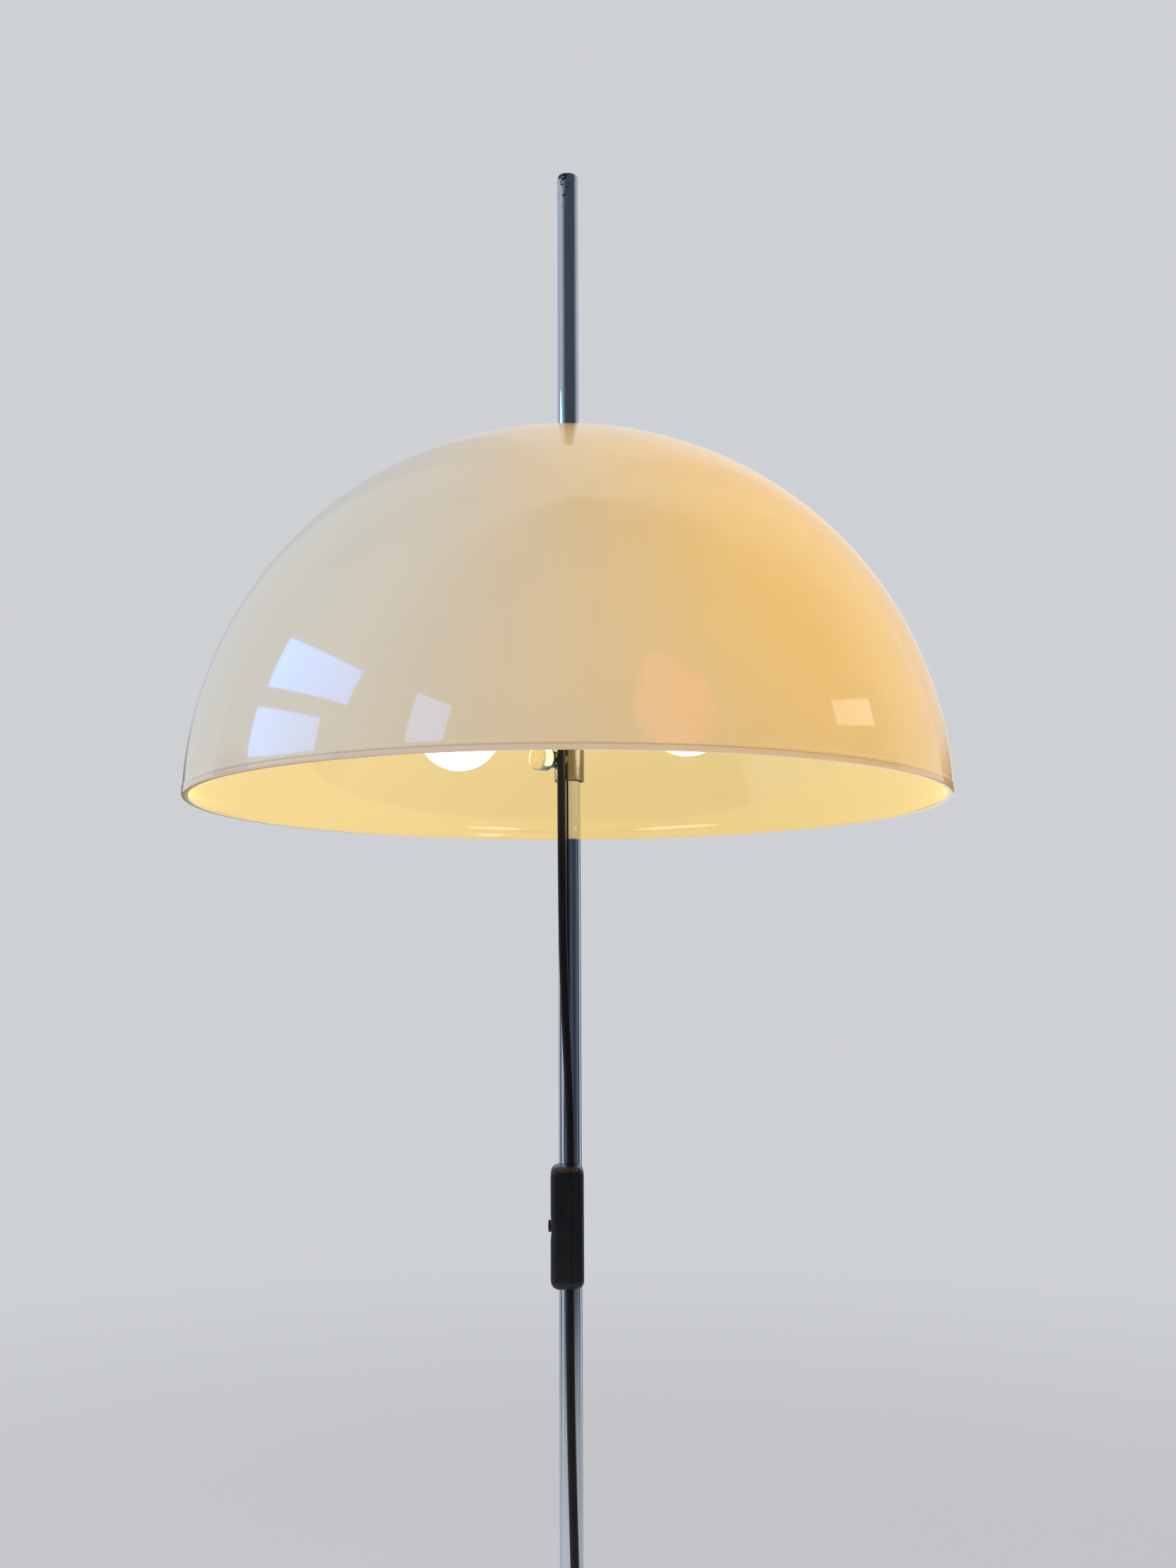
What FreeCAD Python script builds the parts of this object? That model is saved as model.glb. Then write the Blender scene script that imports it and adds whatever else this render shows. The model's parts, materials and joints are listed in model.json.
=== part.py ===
import FreeCAD, Part
import math
import os

# Mushroom floor lamp: an opal acrylic dome of 0.5 m that slides and turns on a
# chromed pole, is held by a knurled thumb screw, and carries two bulbs on a hub.
#
# Millimetres.  The origin is on the floor under the pole, +Z is up, and -Y is
# the side where the cord hangs.  Every solid is one piece of the real lamp.

V = FreeCAD.Vector

# ---------------------------------------------------------------- fits
FIT = 0.05             # radial clearance of a running or pressed fit
SEAT = 0.3             # clearance of a curved face that only lies on another

# ---------------------------------------------------------------- pole
POLE_OD = 15.0
POLE_WALL = 1.5
POLE_TOP_Z = 1500.0    # height of the whole lamp
POLE_EDGE = 0.7        # rounding of the pole's top edge
TOP_PLUG_L = 6.0
TOP_PLUG_SINK = 1.0    # how far the top plug lies below the pole's end
FOOT_PLUG_L = 26.0

# ---------------------------------------------------------------- base
BASE_OD = 280.0
PAD_T = 2.0            # felt under the weight
PAD_INSET = 7.0
WEIGHT_T = 14.0
COVER_T = 1.2
COVER_SKIRT_Z = 1.5    # how far the cover's skirt stays off the floor
COVER_EDGE_R = 8.0
COVER_LAND = 16.0      # flat ring of the cover that lies on the weight
COVER_RISE = 7.0       # crown of the cover above that ring
CENTRE_LAND_R = 19.0   # flat middle of the cover, under the ferrule
FERRULE_OD = 28.0
FERRULE_H = 12.0
FERRULE_EDGE = 2.5

# M10 bolt that pulls the pole down on the weight
BOLT_D = 10.0
BOLT_HEAD_D = 17.0
BOLT_HEAD_H = 6.4
BOLT_IN_PLUG = 20.0
BOLT_CLEARANCE = 0.25
WASHER_D = 22.0
WASHER_T = 2.0
POCKET_D = 26.0        # pocket for the bolt's head under the weight
POCKET_DEPTH = 9.0

# ---------------------------------------------------------------- shade
RIM_Z = 1045.0         # height of the shade's rim over the floor
SHADE_OD = 500.0
SHADE_WALL = 3.2
LIP_T = 4.6            # the rim's bead is thicker than the dome
LIP_H = 5.0
LIP_STEP = 0.4         # how far the bead stands out of the dome
LIP_SLOPE = 2.6        # height over which the bead runs into the dome inside
LIP_EDGE = 1.6         # rounding of the rim
LAND_R = 24.0          # flat ring round the hole in the top

# ---------------------------------------------------------------- sleeve and bushes
SLEEVE_BOTTOM = 17.3   # above the rim
SLEEVE_WALL = 1.2
BUSH_WALL = 1.2
BUSH_L = 20.0
BUSH_LOWER_TOP = 70.0  # shoulder over the lower bush, above the rim
BUSH_UPPER_DOWN = 26.4  # shoulder under the upper bush, below the shade's land
SHOULDER_CLEAR = 0.4   # the sleeve between the bushes clears the pole by this

# what holds the shade on the sleeve
WASHER_RING_D = 40.0
WASHER_RING_T = 1.0
FLANGE_D = 44.0
FLANGE_T = 3.0
FLANGE_HUB_D = 27.0
FLANGE_HUB_H = 8.0
RING_NUT_D = 42.0
RING_NUT_H = 7.0
RING_NUT_EDGE = 1.5
RING_NUT_NOTCHES = 4
RING_NUT_NOTCH = 4.0
THREAD_PROUD = 2.0     # the sleeve's end over the ring nut

# ---------------------------------------------------------------- thumb screw, M6
SCREW_AZ = 222.0       # degrees from +X
SCREW_UP = 31.2        # above the rim
SCREW_D = 6.0
BOSS_D = 11.0
BOSS_L = 7.0           # outside the sleeve
PAD_LENGTH = 3.0
PAD_OFF_POLE = 0.2
NECK_D = 8.4
NECK_L = 3.0
NECK_OFF_BOSS = 0.4
KNOB_D = 17.0
KNOB_L = 8.8
KNOB_EDGE = 0.9
KNURL_COUNT = 48
KNURL_DEPTH = 0.35

# ---------------------------------------------------------------- bulbs and holders
BULB_AZ = 157.0        # the second bulb lies opposite
BULB_OUT = 84.0        # bulb's centre from the pole's axis
BULB_UP = 60.0         # bulb's centre above the rim
BULB_TILT = 54.0       # how far the bulb points down, in degrees
BULB_D = 60.0
BULB_WALL = 1.0
BULB_NECK_D = 27.0
BULB_SHOULDER = 20.0   # where the ball runs into the neck, from its centre
BULB_GLASS_END = 51.0  # where the glass ends in its cap
CAP_D = 26.2
CAP_STRAIGHT = 22.0
CAP_TIP_D = 9.0
CAP_TIP_L = 5.0

HOLDER_D = 39.0
HOLDER_WALL = 2.0
HOLDER_MOUTH = 50.0    # from the bulb's centre, along its axis
HOLDER_L = 38.0
HOLDER_CAP_L = 10.0
HOLDER_CAP_TOP_D = 15.0
INSERT_MOUTH = 58.0
INSERT_CLEAR = 0.3     # round the bulb's cap
INSERT_BACK = 2.0      # from the insert's back to the shell's end
NIPPLE_D = 10.0
NIPPLE_BORE = 6.6
NIPPLE_IN_CAP = 6.0
NIPPLE_IN_HUB = 8.0
NUT_ACROSS = 14.0
NUT_H = 3.0
NUT_OFF_WALL = 1.2     # the hub's wall curves towards the nut's flat

# ---------------------------------------------------------------- hub with the terminals
HUB_D = 74.0
HUB_WALL = 2.5
HUB_NOSE_R = 12.5      # where the hub's cone starts, beside the sleeve
HUB_SIDE_H = 18.0
HUB_COLLAR_WALL = 3.2
LID_T = 1.6
POST_D = 6.0
POST_R = 31.0
POST_AZ = 67.0
LID_SCREW_D = 3.0
LID_SCREW_L = 9.0
LID_SCREW_HEAD_D = 5.6
LID_SCREW_HEAD_H = 2.0
BLOCK_W = 24.0
BLOCK_T = 9.0
BLOCK_H = 10.0
BLOCK_FLOOR = 15.5     # over the hub's nose
LEAD_D = 2.4

# ---------------------------------------------------------------- cord
CORD_D = 5.6
GLAND_D = 10.0
GLAND_TIP_D = 7.6
GLAND_L = 30.0
# The route, one list for each stretch.  The upper stretch is measured from the rim.
GLAND_XY = (-5.0, -17.5)
CORD_UPPER_ROUTE = [(-5.3, -17.4, 45.0), (-5.1, -17.3, -30.0), (-4.4, -17.7, -100.0),
                    (-1.6, -19.3, -168.0), (0.0, -20.0, -206.0)]
CORD_LOWER_ROUTE = [(-0.5, -20.0, 705.0), (0.1, -20.3, 650.0), (1.9, -21.0, 575.0),
                    (4.2, -22.3, 497.0), (4.8, -23.2, 416.0), (2.6, -24.0, 336.0),
                    (-0.6, -24.7, 256.0), (-2.9, -25.3, 181.0), (-3.6, -26.0, 115.0)]
CORD_FLOOR_ROUTE = [(-4.2, -26.4, 78.0), (-9.5, -27.0, 51.0), (-25.0, -27.8, 32.0),
                    (-49.0, -26.6, 27.0), (-74.0, -17.0, 24.6), (-95.0, 2.5, 22.6),
                    (-110.0, 28.5, 21.4), (-124.0, 56.0, 21.6), (-137.5, 79.0, 11.0),
                    (-151.5, 99.0, 3.1)]

# the put-away length: a flat coil behind the base, two layers high
COIL_XY = (-125.0, 150.0)
COIL_R = 41.0          # outermost turn, at the cord's middle
COIL_PITCH = 6.3       # from one turn to the next, and from layer to layer
COIL_TURNS = 2.625     # in each layer
COIL_Z = 3.1           # the first layer's middle over the floor
STRAIGHT_END = 6.0
CORD_TAIL_ROUTE = [(-97.0, 191.0, 8.7), (-77.0, 190.6, 7.3)]

# plug, two round pins
PLUG_X = -37.0         # the body's back face
PLUG_L = 36.0
PLUG_W = 35.0
PLUG_BACK_W = 18.0
PLUG_T = 14.0
PLUG_EDGE = 2.5
RELIEF_L = 22.0
RELIEF_D = 9.0
RELIEF_TIP_D = 6.6
PIN_D = 4.0
PIN_L = 19.0
PIN_SPACING = 18.6

# ---------------------------------------------------------------- switch on the cord
SWITCH_X = -2.1
SWITCH_Y = -20.0
SWITCH_DOWN = 268.0    # its middle below the rim
SWITCH_L = 74.6
SWITCH_T = 21.0        # along X
SWITCH_W = 24.0        # along Y
SWITCH_EDGE = 5.5
SWITCH_WALL = 1.8
SWITCH_FACE = 4.0      # the wall with the dish and the button's hole
SEAM_OFF = 2.5         # from the switch's middle to the seam of its shells
DISH_D = 21.0
DISH_DEPTH = 2.0
BUTTON_D = 7.4
BUTTON_PROUD = 1.5
BUTTON_TRAVEL = 1.7
BUTTON_STEM_D = 3.6    # stem inside the spring, which stops the button on the carrier
BUTTON_CLEAR = 0.2
BUTTON_FLANGE_D = 10.4
BUTTON_FLANGE_T = 1.4
CARRIER_T = 2.5        # plate that carries the contacts
CARRIER_W = 15.0
CARRIER_L = 56.0
SWITCH_POST_D = 6.0
SWITCH_POST_UP = 22.0
SWITCH_SCREW_D = 2.8
SWITCH_SCREW_HEAD_D = 5.4
SWITCH_SCREW_HEAD_H = 1.6
CONTACT_L = 8.0
CONTACT_W = 6.0
CONTACT_UP = 11.0
SPRING_D = 6.0
SPRING_WIRE = 0.7

# ---------------------------------------------------------------- worked out from these
POLE_R = POLE_OD / 2
POLE_BORE_R = POLE_R - POLE_WALL
POLE_FOOT_Z = PAD_T + WEIGHT_T
COVER_Z = POLE_FOOT_Z + COVER_T          # top of the cover's flat ring
COVER_TOP_Z = COVER_Z + COVER_RISE
BUSH_BORE_R = POLE_R + FIT
BUSH_R = BUSH_BORE_R + BUSH_WALL
SLEEVE_BORE_R = BUSH_R + FIT
SLEEVE_R = SLEEVE_BORE_R + SLEEVE_WALL
DOME_R = SHADE_OD / 2 - LIP_STEP
LAND_Z = RIM_Z + math.sqrt(DOME_R ** 2 - LAND_R ** 2)
BUSH_LOWER_Z = RIM_Z + BUSH_LOWER_TOP    # the two shoulders in the sleeve
BUSH_UPPER_Z = LAND_Z - BUSH_UPPER_DOWN
SLEEVE_TOP_Z = LAND_Z + WASHER_RING_T + RING_NUT_H + THREAD_PROUD
SCREW_Z = RIM_Z + SCREW_UP
SCREW_DIR = V(math.cos(math.radians(SCREW_AZ)), math.sin(math.radians(SCREW_AZ)), 0)
PAD_START = POLE_R + PAD_OFF_POLE
SCREW_START = PAD_START + PAD_LENGTH
BOSS_END = SLEEVE_R + BOSS_L
KNOB_START = BOSS_END + NECK_L
TILT = math.radians(BULB_TILT)
HOLDER_BACK = HOLDER_MOUTH + HOLDER_L
HOLDER_TOP = HOLDER_BACK + HOLDER_CAP_L  # where the holder's cap meets the hub
HUB_R = HUB_D / 2
HUB_TOUCH_R = BULB_OUT - HOLDER_TOP * math.cos(TILT)
HUB_TOUCH_Z = RIM_Z + BULB_UP + HOLDER_TOP * math.sin(TILT)
HUB_SLOPE = 1 / math.tan(TILT)           # rise of the hub's cone per mm outwards
HUB_NOSE_Z = HUB_TOUCH_Z - (HUB_TOUCH_R - HUB_NOSE_R) * HUB_SLOPE
HUB_CONE_TOP_Z = HUB_TOUCH_Z + (HUB_R - HUB_TOUCH_R) * HUB_SLOPE
HUB_TOP_Z = HUB_CONE_TOP_Z + HUB_SIDE_H
HUB_COLLAR_R = SLEEVE_R + HUB_COLLAR_WALL
BLOCK_Z = HUB_NOSE_Z + BLOCK_FLOOR
GLAND_TIP_Z = HUB_NOSE_Z - GLAND_L
SWITCH_Z = RIM_Z - SWITCH_DOWN
SWITCH_TOP_Z = SWITCH_Z + SWITCH_L / 2
SWITCH_BOTTOM_Z = SWITCH_Z - SWITCH_L / 2
SEAM_X = SWITCH_X + SEAM_OFF
FACE_X = SWITCH_X - SWITCH_T / 2
FACE_INNER_X = FACE_X + SWITCH_FACE
BACK_X = SWITCH_X + SWITCH_T / 2
BACK_INNER_X = BACK_X - SWITCH_WALL
CARRIER_X = SEAM_X - CARRIER_T
PLUG_Z = PLUG_T / 2 + SEAT
PLUG_Y = COIL_XY[1] + COIL_R


# ================================================================ helpers
def revolved(start, *steps):
    """Turn a closed outline in (radius, height) about the Z axis.

    A step is a point, for a straight edge, or a pair of points, the middle and
    the end of an arc.
    """
    edges = []
    here = V(start[0], 0, start[1])
    for step in list(steps) + [start]:
        if isinstance(step[0], tuple):
            middle, end = (V(p[0], 0, p[1]) for p in step)
            edges.append(Part.Arc(here, middle, end).toShape())
        else:
            end = V(step[0], 0, step[1])
            edges.append(Part.LineSegment(here, end).toShape())
        here = end
    face = Part.Face(Part.Wire(edges))
    return face.revolve(V(0, 0, 0), V(0, 0, 1), 360)


def corner(centre, radius, from_deg, to_deg):
    """Middle and end of an arc about a centre, for an outline."""
    points = []
    for deg in ((from_deg + to_deg) / 2, to_deg):
        angle = math.radians(deg)
        points.append((centre[0] + radius * math.cos(angle), centre[1] + radius * math.sin(angle)))
    return tuple(points)


def rod(radius, bottom, top, x=0.0, y=0.0):
    """An upright cylinder between two heights."""
    return Part.makeCylinder(radius, top - bottom, V(x, y, bottom))


def ring(outer, inner, bottom, top, x=0.0, y=0.0):
    """An upright tube between two heights."""
    return rod(outer, bottom, top, x, y).cut(rod(inner, bottom - 1, top + 1, x, y))


def rod_along(radius, start, end, direction, origin):
    """A cylinder along a direction, between two distances from an origin."""
    return Part.makeCylinder(radius, end - start, origin + direction * start, direction)


def block(low, high):
    """A box between two corners."""
    return Part.makeBox(high[0] - low[0], high[1] - low[1], high[2] - low[2], V(*low))


def rounded_block(low, high, radius):
    """A box between two corners with all its edges rounded."""
    solid = block(low, high)
    return solid.makeFillet(radius, solid.Edges)


def hexagon(across, bottom, top):
    """An upright hexagonal prism on the Z axis."""
    radius = across / math.sqrt(3)
    points = [V(radius * math.cos(math.radians(60 * k)), radius * math.sin(math.radians(60 * k)), bottom)
              for k in range(7)]
    return Part.Face(Part.makePolygon(points)).extrude(V(0, 0, top - bottom))


def polar(radius, azimuth, z):
    """A point given by its distance and direction from the pole."""
    angle = math.radians(azimuth)
    return V(radius * math.cos(angle), radius * math.sin(angle), z)


def fused(shapes):
    """One solid out of several that touch or overlap."""
    return shapes[0].fuse(shapes[1:]).removeSplitter()


def rounded_path(points, bend):
    """A wire of straight runs joined by tangent arcs, and the radii of its arcs.

    Each arc's radius is `bend` of its shorter run over the tangent of half the turn.
    """
    edges, radii = [], []
    here = points[0]
    for before, at, after in zip(points, points[1:], points[2:]):
        incoming, outgoing = at - before, after - at
        half = incoming.getAngle(outgoing) / 2
        reach = bend * min(incoming.Length, outgoing.Length)
        radii.append(reach / math.tan(half))
        incoming.normalize()
        outgoing.normalize()
        start, end = at - incoming * reach, at + outgoing * reach
        inward = outgoing - incoming
        inward.normalize()
        middle = at + inward * (radii[-1] / math.cos(half) - radii[-1])
        edges.append(Part.LineSegment(here, start).toShape())
        edges.append(Part.Arc(start, middle, end).toShape())
        here = end
    edges.append(Part.LineSegment(here, points[-1]).toShape())
    return Part.Wire(edges), radii


def tube(name, points, diameter, bend=0.45):
    """A round cord or wire along a route, with a printed check of its bends and volume."""
    path, radii = rounded_path(points, bend)
    direction = points[1] - points[0]
    circle = Part.Wire(Part.makeCircle(diameter / 2, points[0], direction))
    solid = Part.Wire(path).makePipeShell([circle], True, False)
    share = solid.Volume / (math.pi * diameter ** 2 / 4 * path.Length)
    print("%s: length %.1f, volume %.4f of section times length, radii %s"
          % (name, path.Length, share, " ".join("%.0f" % r for r in radii)))
    return solid


def biarc(start, start_dir, end, end_dir):
    """Two tangent arcs from a point to another, with a given direction at each."""
    chord = end - start
    both = start_dir + end_dir
    square = 2 * (1 - start_dir.dot(end_dir))
    along = chord.dot(both)
    reach = (-along + math.sqrt(along ** 2 + square * chord.dot(chord))) / square
    joint = (start + end) * 0.5 + (start_dir - end_dir) * (reach / 2)
    arcs = []
    for first, last, tip in ((start, joint, start + start_dir * reach), (joint, end, end - end_dir * reach)):
        middle = (first + last) * 0.5
        rise = tip - middle
        half_chord = (last - first).Length / 2
        radius = half_chord * (first - tip).Length / rise.Length
        sagitta = radius - math.sqrt(radius ** 2 - half_chord ** 2)
        rise.normalize()
        arcs.append(Part.Arc(first, middle + rise * sagitta, last).toShape())
    return arcs


# ================================================================ the stand
def base():
    """Felt pad, iron weight, pressed cover, ferrule, and the bolt for the pole."""
    edge_r = BASE_OD / 2
    pocket_top = PAD_T + POCKET_DEPTH
    weight_r = edge_r - COVER_T - SEAT
    bolt_hole = BOLT_D / 2 + BOLT_CLEARANCE
    weight_edge = COVER_EDGE_R - COVER_T
    weight = revolved((POCKET_D / 2, PAD_T), (weight_r, PAD_T), (weight_r, POLE_FOOT_Z - weight_edge),
                      corner((weight_r - weight_edge, POLE_FOOT_Z - weight_edge), weight_edge, 0, 90),
                      (bolt_hole, POLE_FOOT_Z), (bolt_hole, pocket_top), (POCKET_D / 2, pocket_top))
    pad = ring(edge_r - PAD_INSET, POCKET_D / 2, 0, PAD_T)

    land_r = edge_r - COVER_EDGE_R - COVER_LAND
    squares = land_r ** 2 + COVER_Z ** 2 - CENTRE_LAND_R ** 2 - COVER_TOP_Z ** 2
    crown_z = squares / (2 * (COVER_Z - COVER_TOP_Z))
    crown_r = math.hypot(land_r, COVER_Z - crown_z)
    middle_r = (land_r + CENTRE_LAND_R) / 2
    middle_z = crown_z + math.sqrt(crown_r ** 2 - middle_r ** 2)
    hole = POLE_R + SEAT
    bend = (edge_r - COVER_EDGE_R, COVER_Z - COVER_EDGE_R)
    under_top_z = COVER_TOP_Z - COVER_T
    cover = revolved((edge_r, COVER_SKIRT_Z), (edge_r, bend[1]), corner(bend, COVER_EDGE_R, 0, 90),
                     (land_r, COVER_Z), ((middle_r, middle_z), (CENTRE_LAND_R, COVER_TOP_Z)),
                     (hole, COVER_TOP_Z), (hole, under_top_z), (CENTRE_LAND_R, under_top_z),
                     ((middle_r, middle_z - COVER_T), (land_r, COVER_Z - COVER_T)),
                     (bend[0], COVER_Z - COVER_T), corner(bend, COVER_EDGE_R - COVER_T, 90, 0),
                     (edge_r - COVER_T, COVER_SKIRT_Z))

    ferrule_r = FERRULE_OD / 2
    ferrule_top = COVER_TOP_Z + FERRULE_H
    rounding = (ferrule_r - FERRULE_EDGE, ferrule_top - FERRULE_EDGE)
    ferrule = revolved((POLE_R + FIT, COVER_TOP_Z), (ferrule_r, COVER_TOP_Z), (ferrule_r, rounding[1]),
                       corner(rounding, FERRULE_EDGE, 0, 90), (POLE_R + FIT, ferrule_top))

    washer = ring(WASHER_D / 2, bolt_hole, pocket_top - WASHER_T, pocket_top)
    head_top = pocket_top - WASHER_T
    head = hexagon(BOLT_HEAD_D, head_top - BOLT_HEAD_H, head_top)
    bolt = fused([head, rod(BOLT_D / 2, head_top - 1, POLE_FOOT_Z + BOLT_IN_PLUG)])
    return {"base_pad": pad, "base_weight": weight, "base_cover": cover, "pole_ferrule": ferrule,
            "bolt_washer": washer, "pole_bolt": bolt}


def pole():
    """The pole, with the threaded plug in its foot and the plug in its top."""
    top = (POLE_R - POLE_EDGE, POLE_TOP_Z - POLE_EDGE)
    tube_solid = revolved((POLE_BORE_R, POLE_FOOT_Z), (POLE_R, POLE_FOOT_Z), (POLE_R, top[1]),
                          corner(top, POLE_EDGE, 0, 90), (POLE_BORE_R, POLE_TOP_Z))
    foot = ring(POLE_BORE_R - FIT, BOLT_D / 2 + FIT, POLE_FOOT_Z, POLE_FOOT_Z + FOOT_PLUG_L)
    plug_top = POLE_TOP_Z - TOP_PLUG_SINK
    return {"pole": tube_solid, "pole_foot_plug": foot,
            "pole_top_plug": rod(POLE_BORE_R - FIT, plug_top - TOP_PLUG_L, plug_top)}


# ================================================================ sleeve, bushes, clamp
def sleeve():
    """The tube that slides on the pole: bored for a bush at each end, with a threaded boss."""
    waist = POLE_R + SHOULDER_CLEAR
    body = revolved((SLEEVE_BORE_R, RIM_Z + SLEEVE_BOTTOM), (SLEEVE_R, RIM_Z + SLEEVE_BOTTOM),
                    (SLEEVE_R, SLEEVE_TOP_Z), (SLEEVE_BORE_R, SLEEVE_TOP_Z), (SLEEVE_BORE_R, BUSH_UPPER_Z),
                    (waist, BUSH_UPPER_Z), (waist, BUSH_LOWER_Z), (SLEEVE_BORE_R, BUSH_LOWER_Z))
    axis_point = V(0, 0, SCREW_Z)
    boss = rod_along(BOSS_D / 2, SLEEVE_BORE_R, BOSS_END, SCREW_DIR, axis_point)
    hollow = rod(SLEEVE_BORE_R, SCREW_Z - BOSS_D, SCREW_Z + BOSS_D)
    bore = rod_along(SCREW_D / 2 + FIT, 0, BOSS_END + 1, SCREW_DIR, axis_point)
    return fused([body, boss.cut(hollow)]).cut(bore)


def bushes():
    """Two plastic glide bushes that the sleeve turns on, each against its shoulder."""
    return {"bush_lower": ring(BUSH_R, BUSH_BORE_R, BUSH_LOWER_Z - BUSH_L, BUSH_LOWER_Z),
            "bush_upper": ring(BUSH_R, BUSH_BORE_R, BUSH_UPPER_Z, BUSH_UPPER_Z + BUSH_L)}


def clamp():
    """Thumb screw with a knurled head, and the pad that it pushes against the pole."""
    axis_point = V(0, 0, SCREW_Z)
    pad = rod_along(SCREW_D / 2, PAD_START, SCREW_START, SCREW_DIR, axis_point)
    knob_r = KNOB_D / 2
    star = []
    for k in range(2 * KNURL_COUNT + 1):
        angle = math.pi * (k % (2 * KNURL_COUNT)) / KNURL_COUNT
        radius = knob_r - KNURL_DEPTH * (k % 2)
        star.append(V(radius * math.cos(angle), radius * math.sin(angle), KNOB_START))
    knurled = Part.Face(Part.makePolygon(star)).extrude(V(0, 0, KNOB_L))
    end = KNOB_START + KNOB_L
    turned = revolved((0, KNOB_START), (knob_r - KNOB_EDGE, KNOB_START), (knob_r, KNOB_START + KNOB_EDGE),
                      (knob_r, end - KNOB_EDGE), (knob_r - KNOB_EDGE, end), (0, end))
    shank = rod(SCREW_D / 2, SCREW_START, KNOB_START + 1)
    neck = rod(NECK_D / 2, BOSS_END + NECK_OFF_BOSS, KNOB_START + 1)
    screw = fused([knurled.common(turned), shank, neck])
    screw.Placement = FreeCAD.Placement(axis_point, FreeCAD.Rotation(V(0, 0, 1), SCREW_DIR))
    return {"clamp_pad": pad, "thumb_screw": screw}


# ================================================================ shade
def shade():
    """The opal dome: a hemisphere with a bead at its rim and a flat ring round its hole."""
    rim_r = SHADE_OD / 2
    inner_r = DOME_R - SHADE_WALL
    lip_r = rim_r - LIP_T
    hole = SLEEVE_R + SEAT
    bead_top = LIP_H + LIP_STEP
    lip_top = LIP_H + LIP_SLOPE
    land = math.sqrt(DOME_R ** 2 - LAND_R ** 2)
    inner_land_r = math.sqrt(inner_r ** 2 - (land - SHADE_WALL) ** 2)
    mid = math.radians(45)
    outline = revolved((rim_r - LIP_EDGE, 0), corner((rim_r - LIP_EDGE, LIP_EDGE), LIP_EDGE, -90, 0),
                       (rim_r, LIP_H), (math.sqrt(DOME_R ** 2 - bead_top ** 2), bead_top),
                       ((DOME_R * math.cos(mid), DOME_R * math.sin(mid)), (LAND_R, land)),
                       (hole, land), (hole, land - SHADE_WALL), (inner_land_r, land - SHADE_WALL),
                       ((inner_r * math.cos(mid), inner_r * math.sin(mid)),
                        (math.sqrt(inner_r ** 2 - lip_top ** 2), lip_top)),
                       (lip_r, LIP_H), (lip_r, LIP_EDGE),
                       corner((lip_r + LIP_EDGE, LIP_EDGE), LIP_EDGE, 180, 270))
    outline.translate(V(0, 0, RIM_Z))
    return outline


def shade_fixing():
    """Flange under the shade, a rubber washer on each side, and the ring nut on top."""
    under = LAND_Z - SHADE_WALL
    flange_top = under - WASHER_RING_T
    flange = fused([rod(FLANGE_D / 2, flange_top - FLANGE_T, flange_top),
                    rod(FLANGE_HUB_D / 2, flange_top - FLANGE_T - FLANGE_HUB_H, flange_top - FLANGE_T)])
    flange = flange.cut(rod(SLEEVE_R + FIT, flange_top - FLANGE_T - FLANGE_HUB_H - 1, flange_top + 1))
    nut_bottom = LAND_Z + WASHER_RING_T
    nut_top = nut_bottom + RING_NUT_H
    nut_r = RING_NUT_D / 2
    nut = revolved((SLEEVE_R + FIT, nut_bottom), (nut_r, nut_bottom), (nut_r, nut_top - RING_NUT_EDGE),
                   (nut_r - RING_NUT_EDGE, nut_top), (SLEEVE_R + FIT, nut_top))
    for k in range(RING_NUT_NOTCHES):
        centre = polar(nut_r, 360 / RING_NUT_NOTCHES * (k + 0.5), 0)
        nut = nut.cut(rod(RING_NUT_NOTCH / 2, nut_bottom - 1, nut_top + 1, centre.x, centre.y))
    washer_r = WASHER_RING_D / 2
    return {"shade_flange": flange, "shade_ring_nut": nut,
            "shade_washer_lower": ring(washer_r, SLEEVE_R + SEAT, flange_top, under),
            "shade_washer_upper": ring(washer_r, SLEEVE_R + SEAT, LAND_Z, nut_bottom)}


# ================================================================ bulbs, holders, hub
def along_bulb(solid, azimuth):
    """Put a solid made along +Z, from the bulb's centre towards the hub, in its place."""
    away = polar(-math.cos(TILT), azimuth, math.sin(TILT))
    centre = polar(BULB_OUT, azimuth, RIM_Z + BULB_UP)
    placed = solid.copy()
    placed.Placement = FreeCAD.Placement(centre, FreeCAD.Rotation(V(0, 0, 1), away))
    return placed


def bulb_glass():
    """The hollow glass: a ball that runs into its neck."""
    ball = BULB_D / 2
    neck = BULB_NECK_D / 2
    side = math.degrees(math.acos(BULB_SHOULDER / ball))
    shoulder = (ball * math.sin(math.radians(side)), BULB_SHOULDER)
    inner = ball - BULB_WALL
    inner_shoulder = (inner / ball * shoulder[0], inner / ball * shoulder[1])
    return revolved((0, -ball), ((ball, 0), shoulder), (neck, BULB_GLASS_END),
                    (neck - BULB_WALL, BULB_GLASS_END), inner_shoulder, ((inner, 0), (0, -inner)))


def bulb_cap():
    """The bulb's screw cap with its contact."""
    start = BULB_GLASS_END
    end = start + CAP_STRAIGHT
    return revolved((0, start), (CAP_D / 2, start), (CAP_D / 2, end), (CAP_TIP_D / 2, end + CAP_TIP_L),
                    (0, end + CAP_TIP_L))


def holder_shell():
    """The holder's barrel."""
    return ring(HOLDER_D / 2, HOLDER_D / 2 - HOLDER_WALL, HOLDER_MOUTH, HOLDER_BACK)


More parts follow.
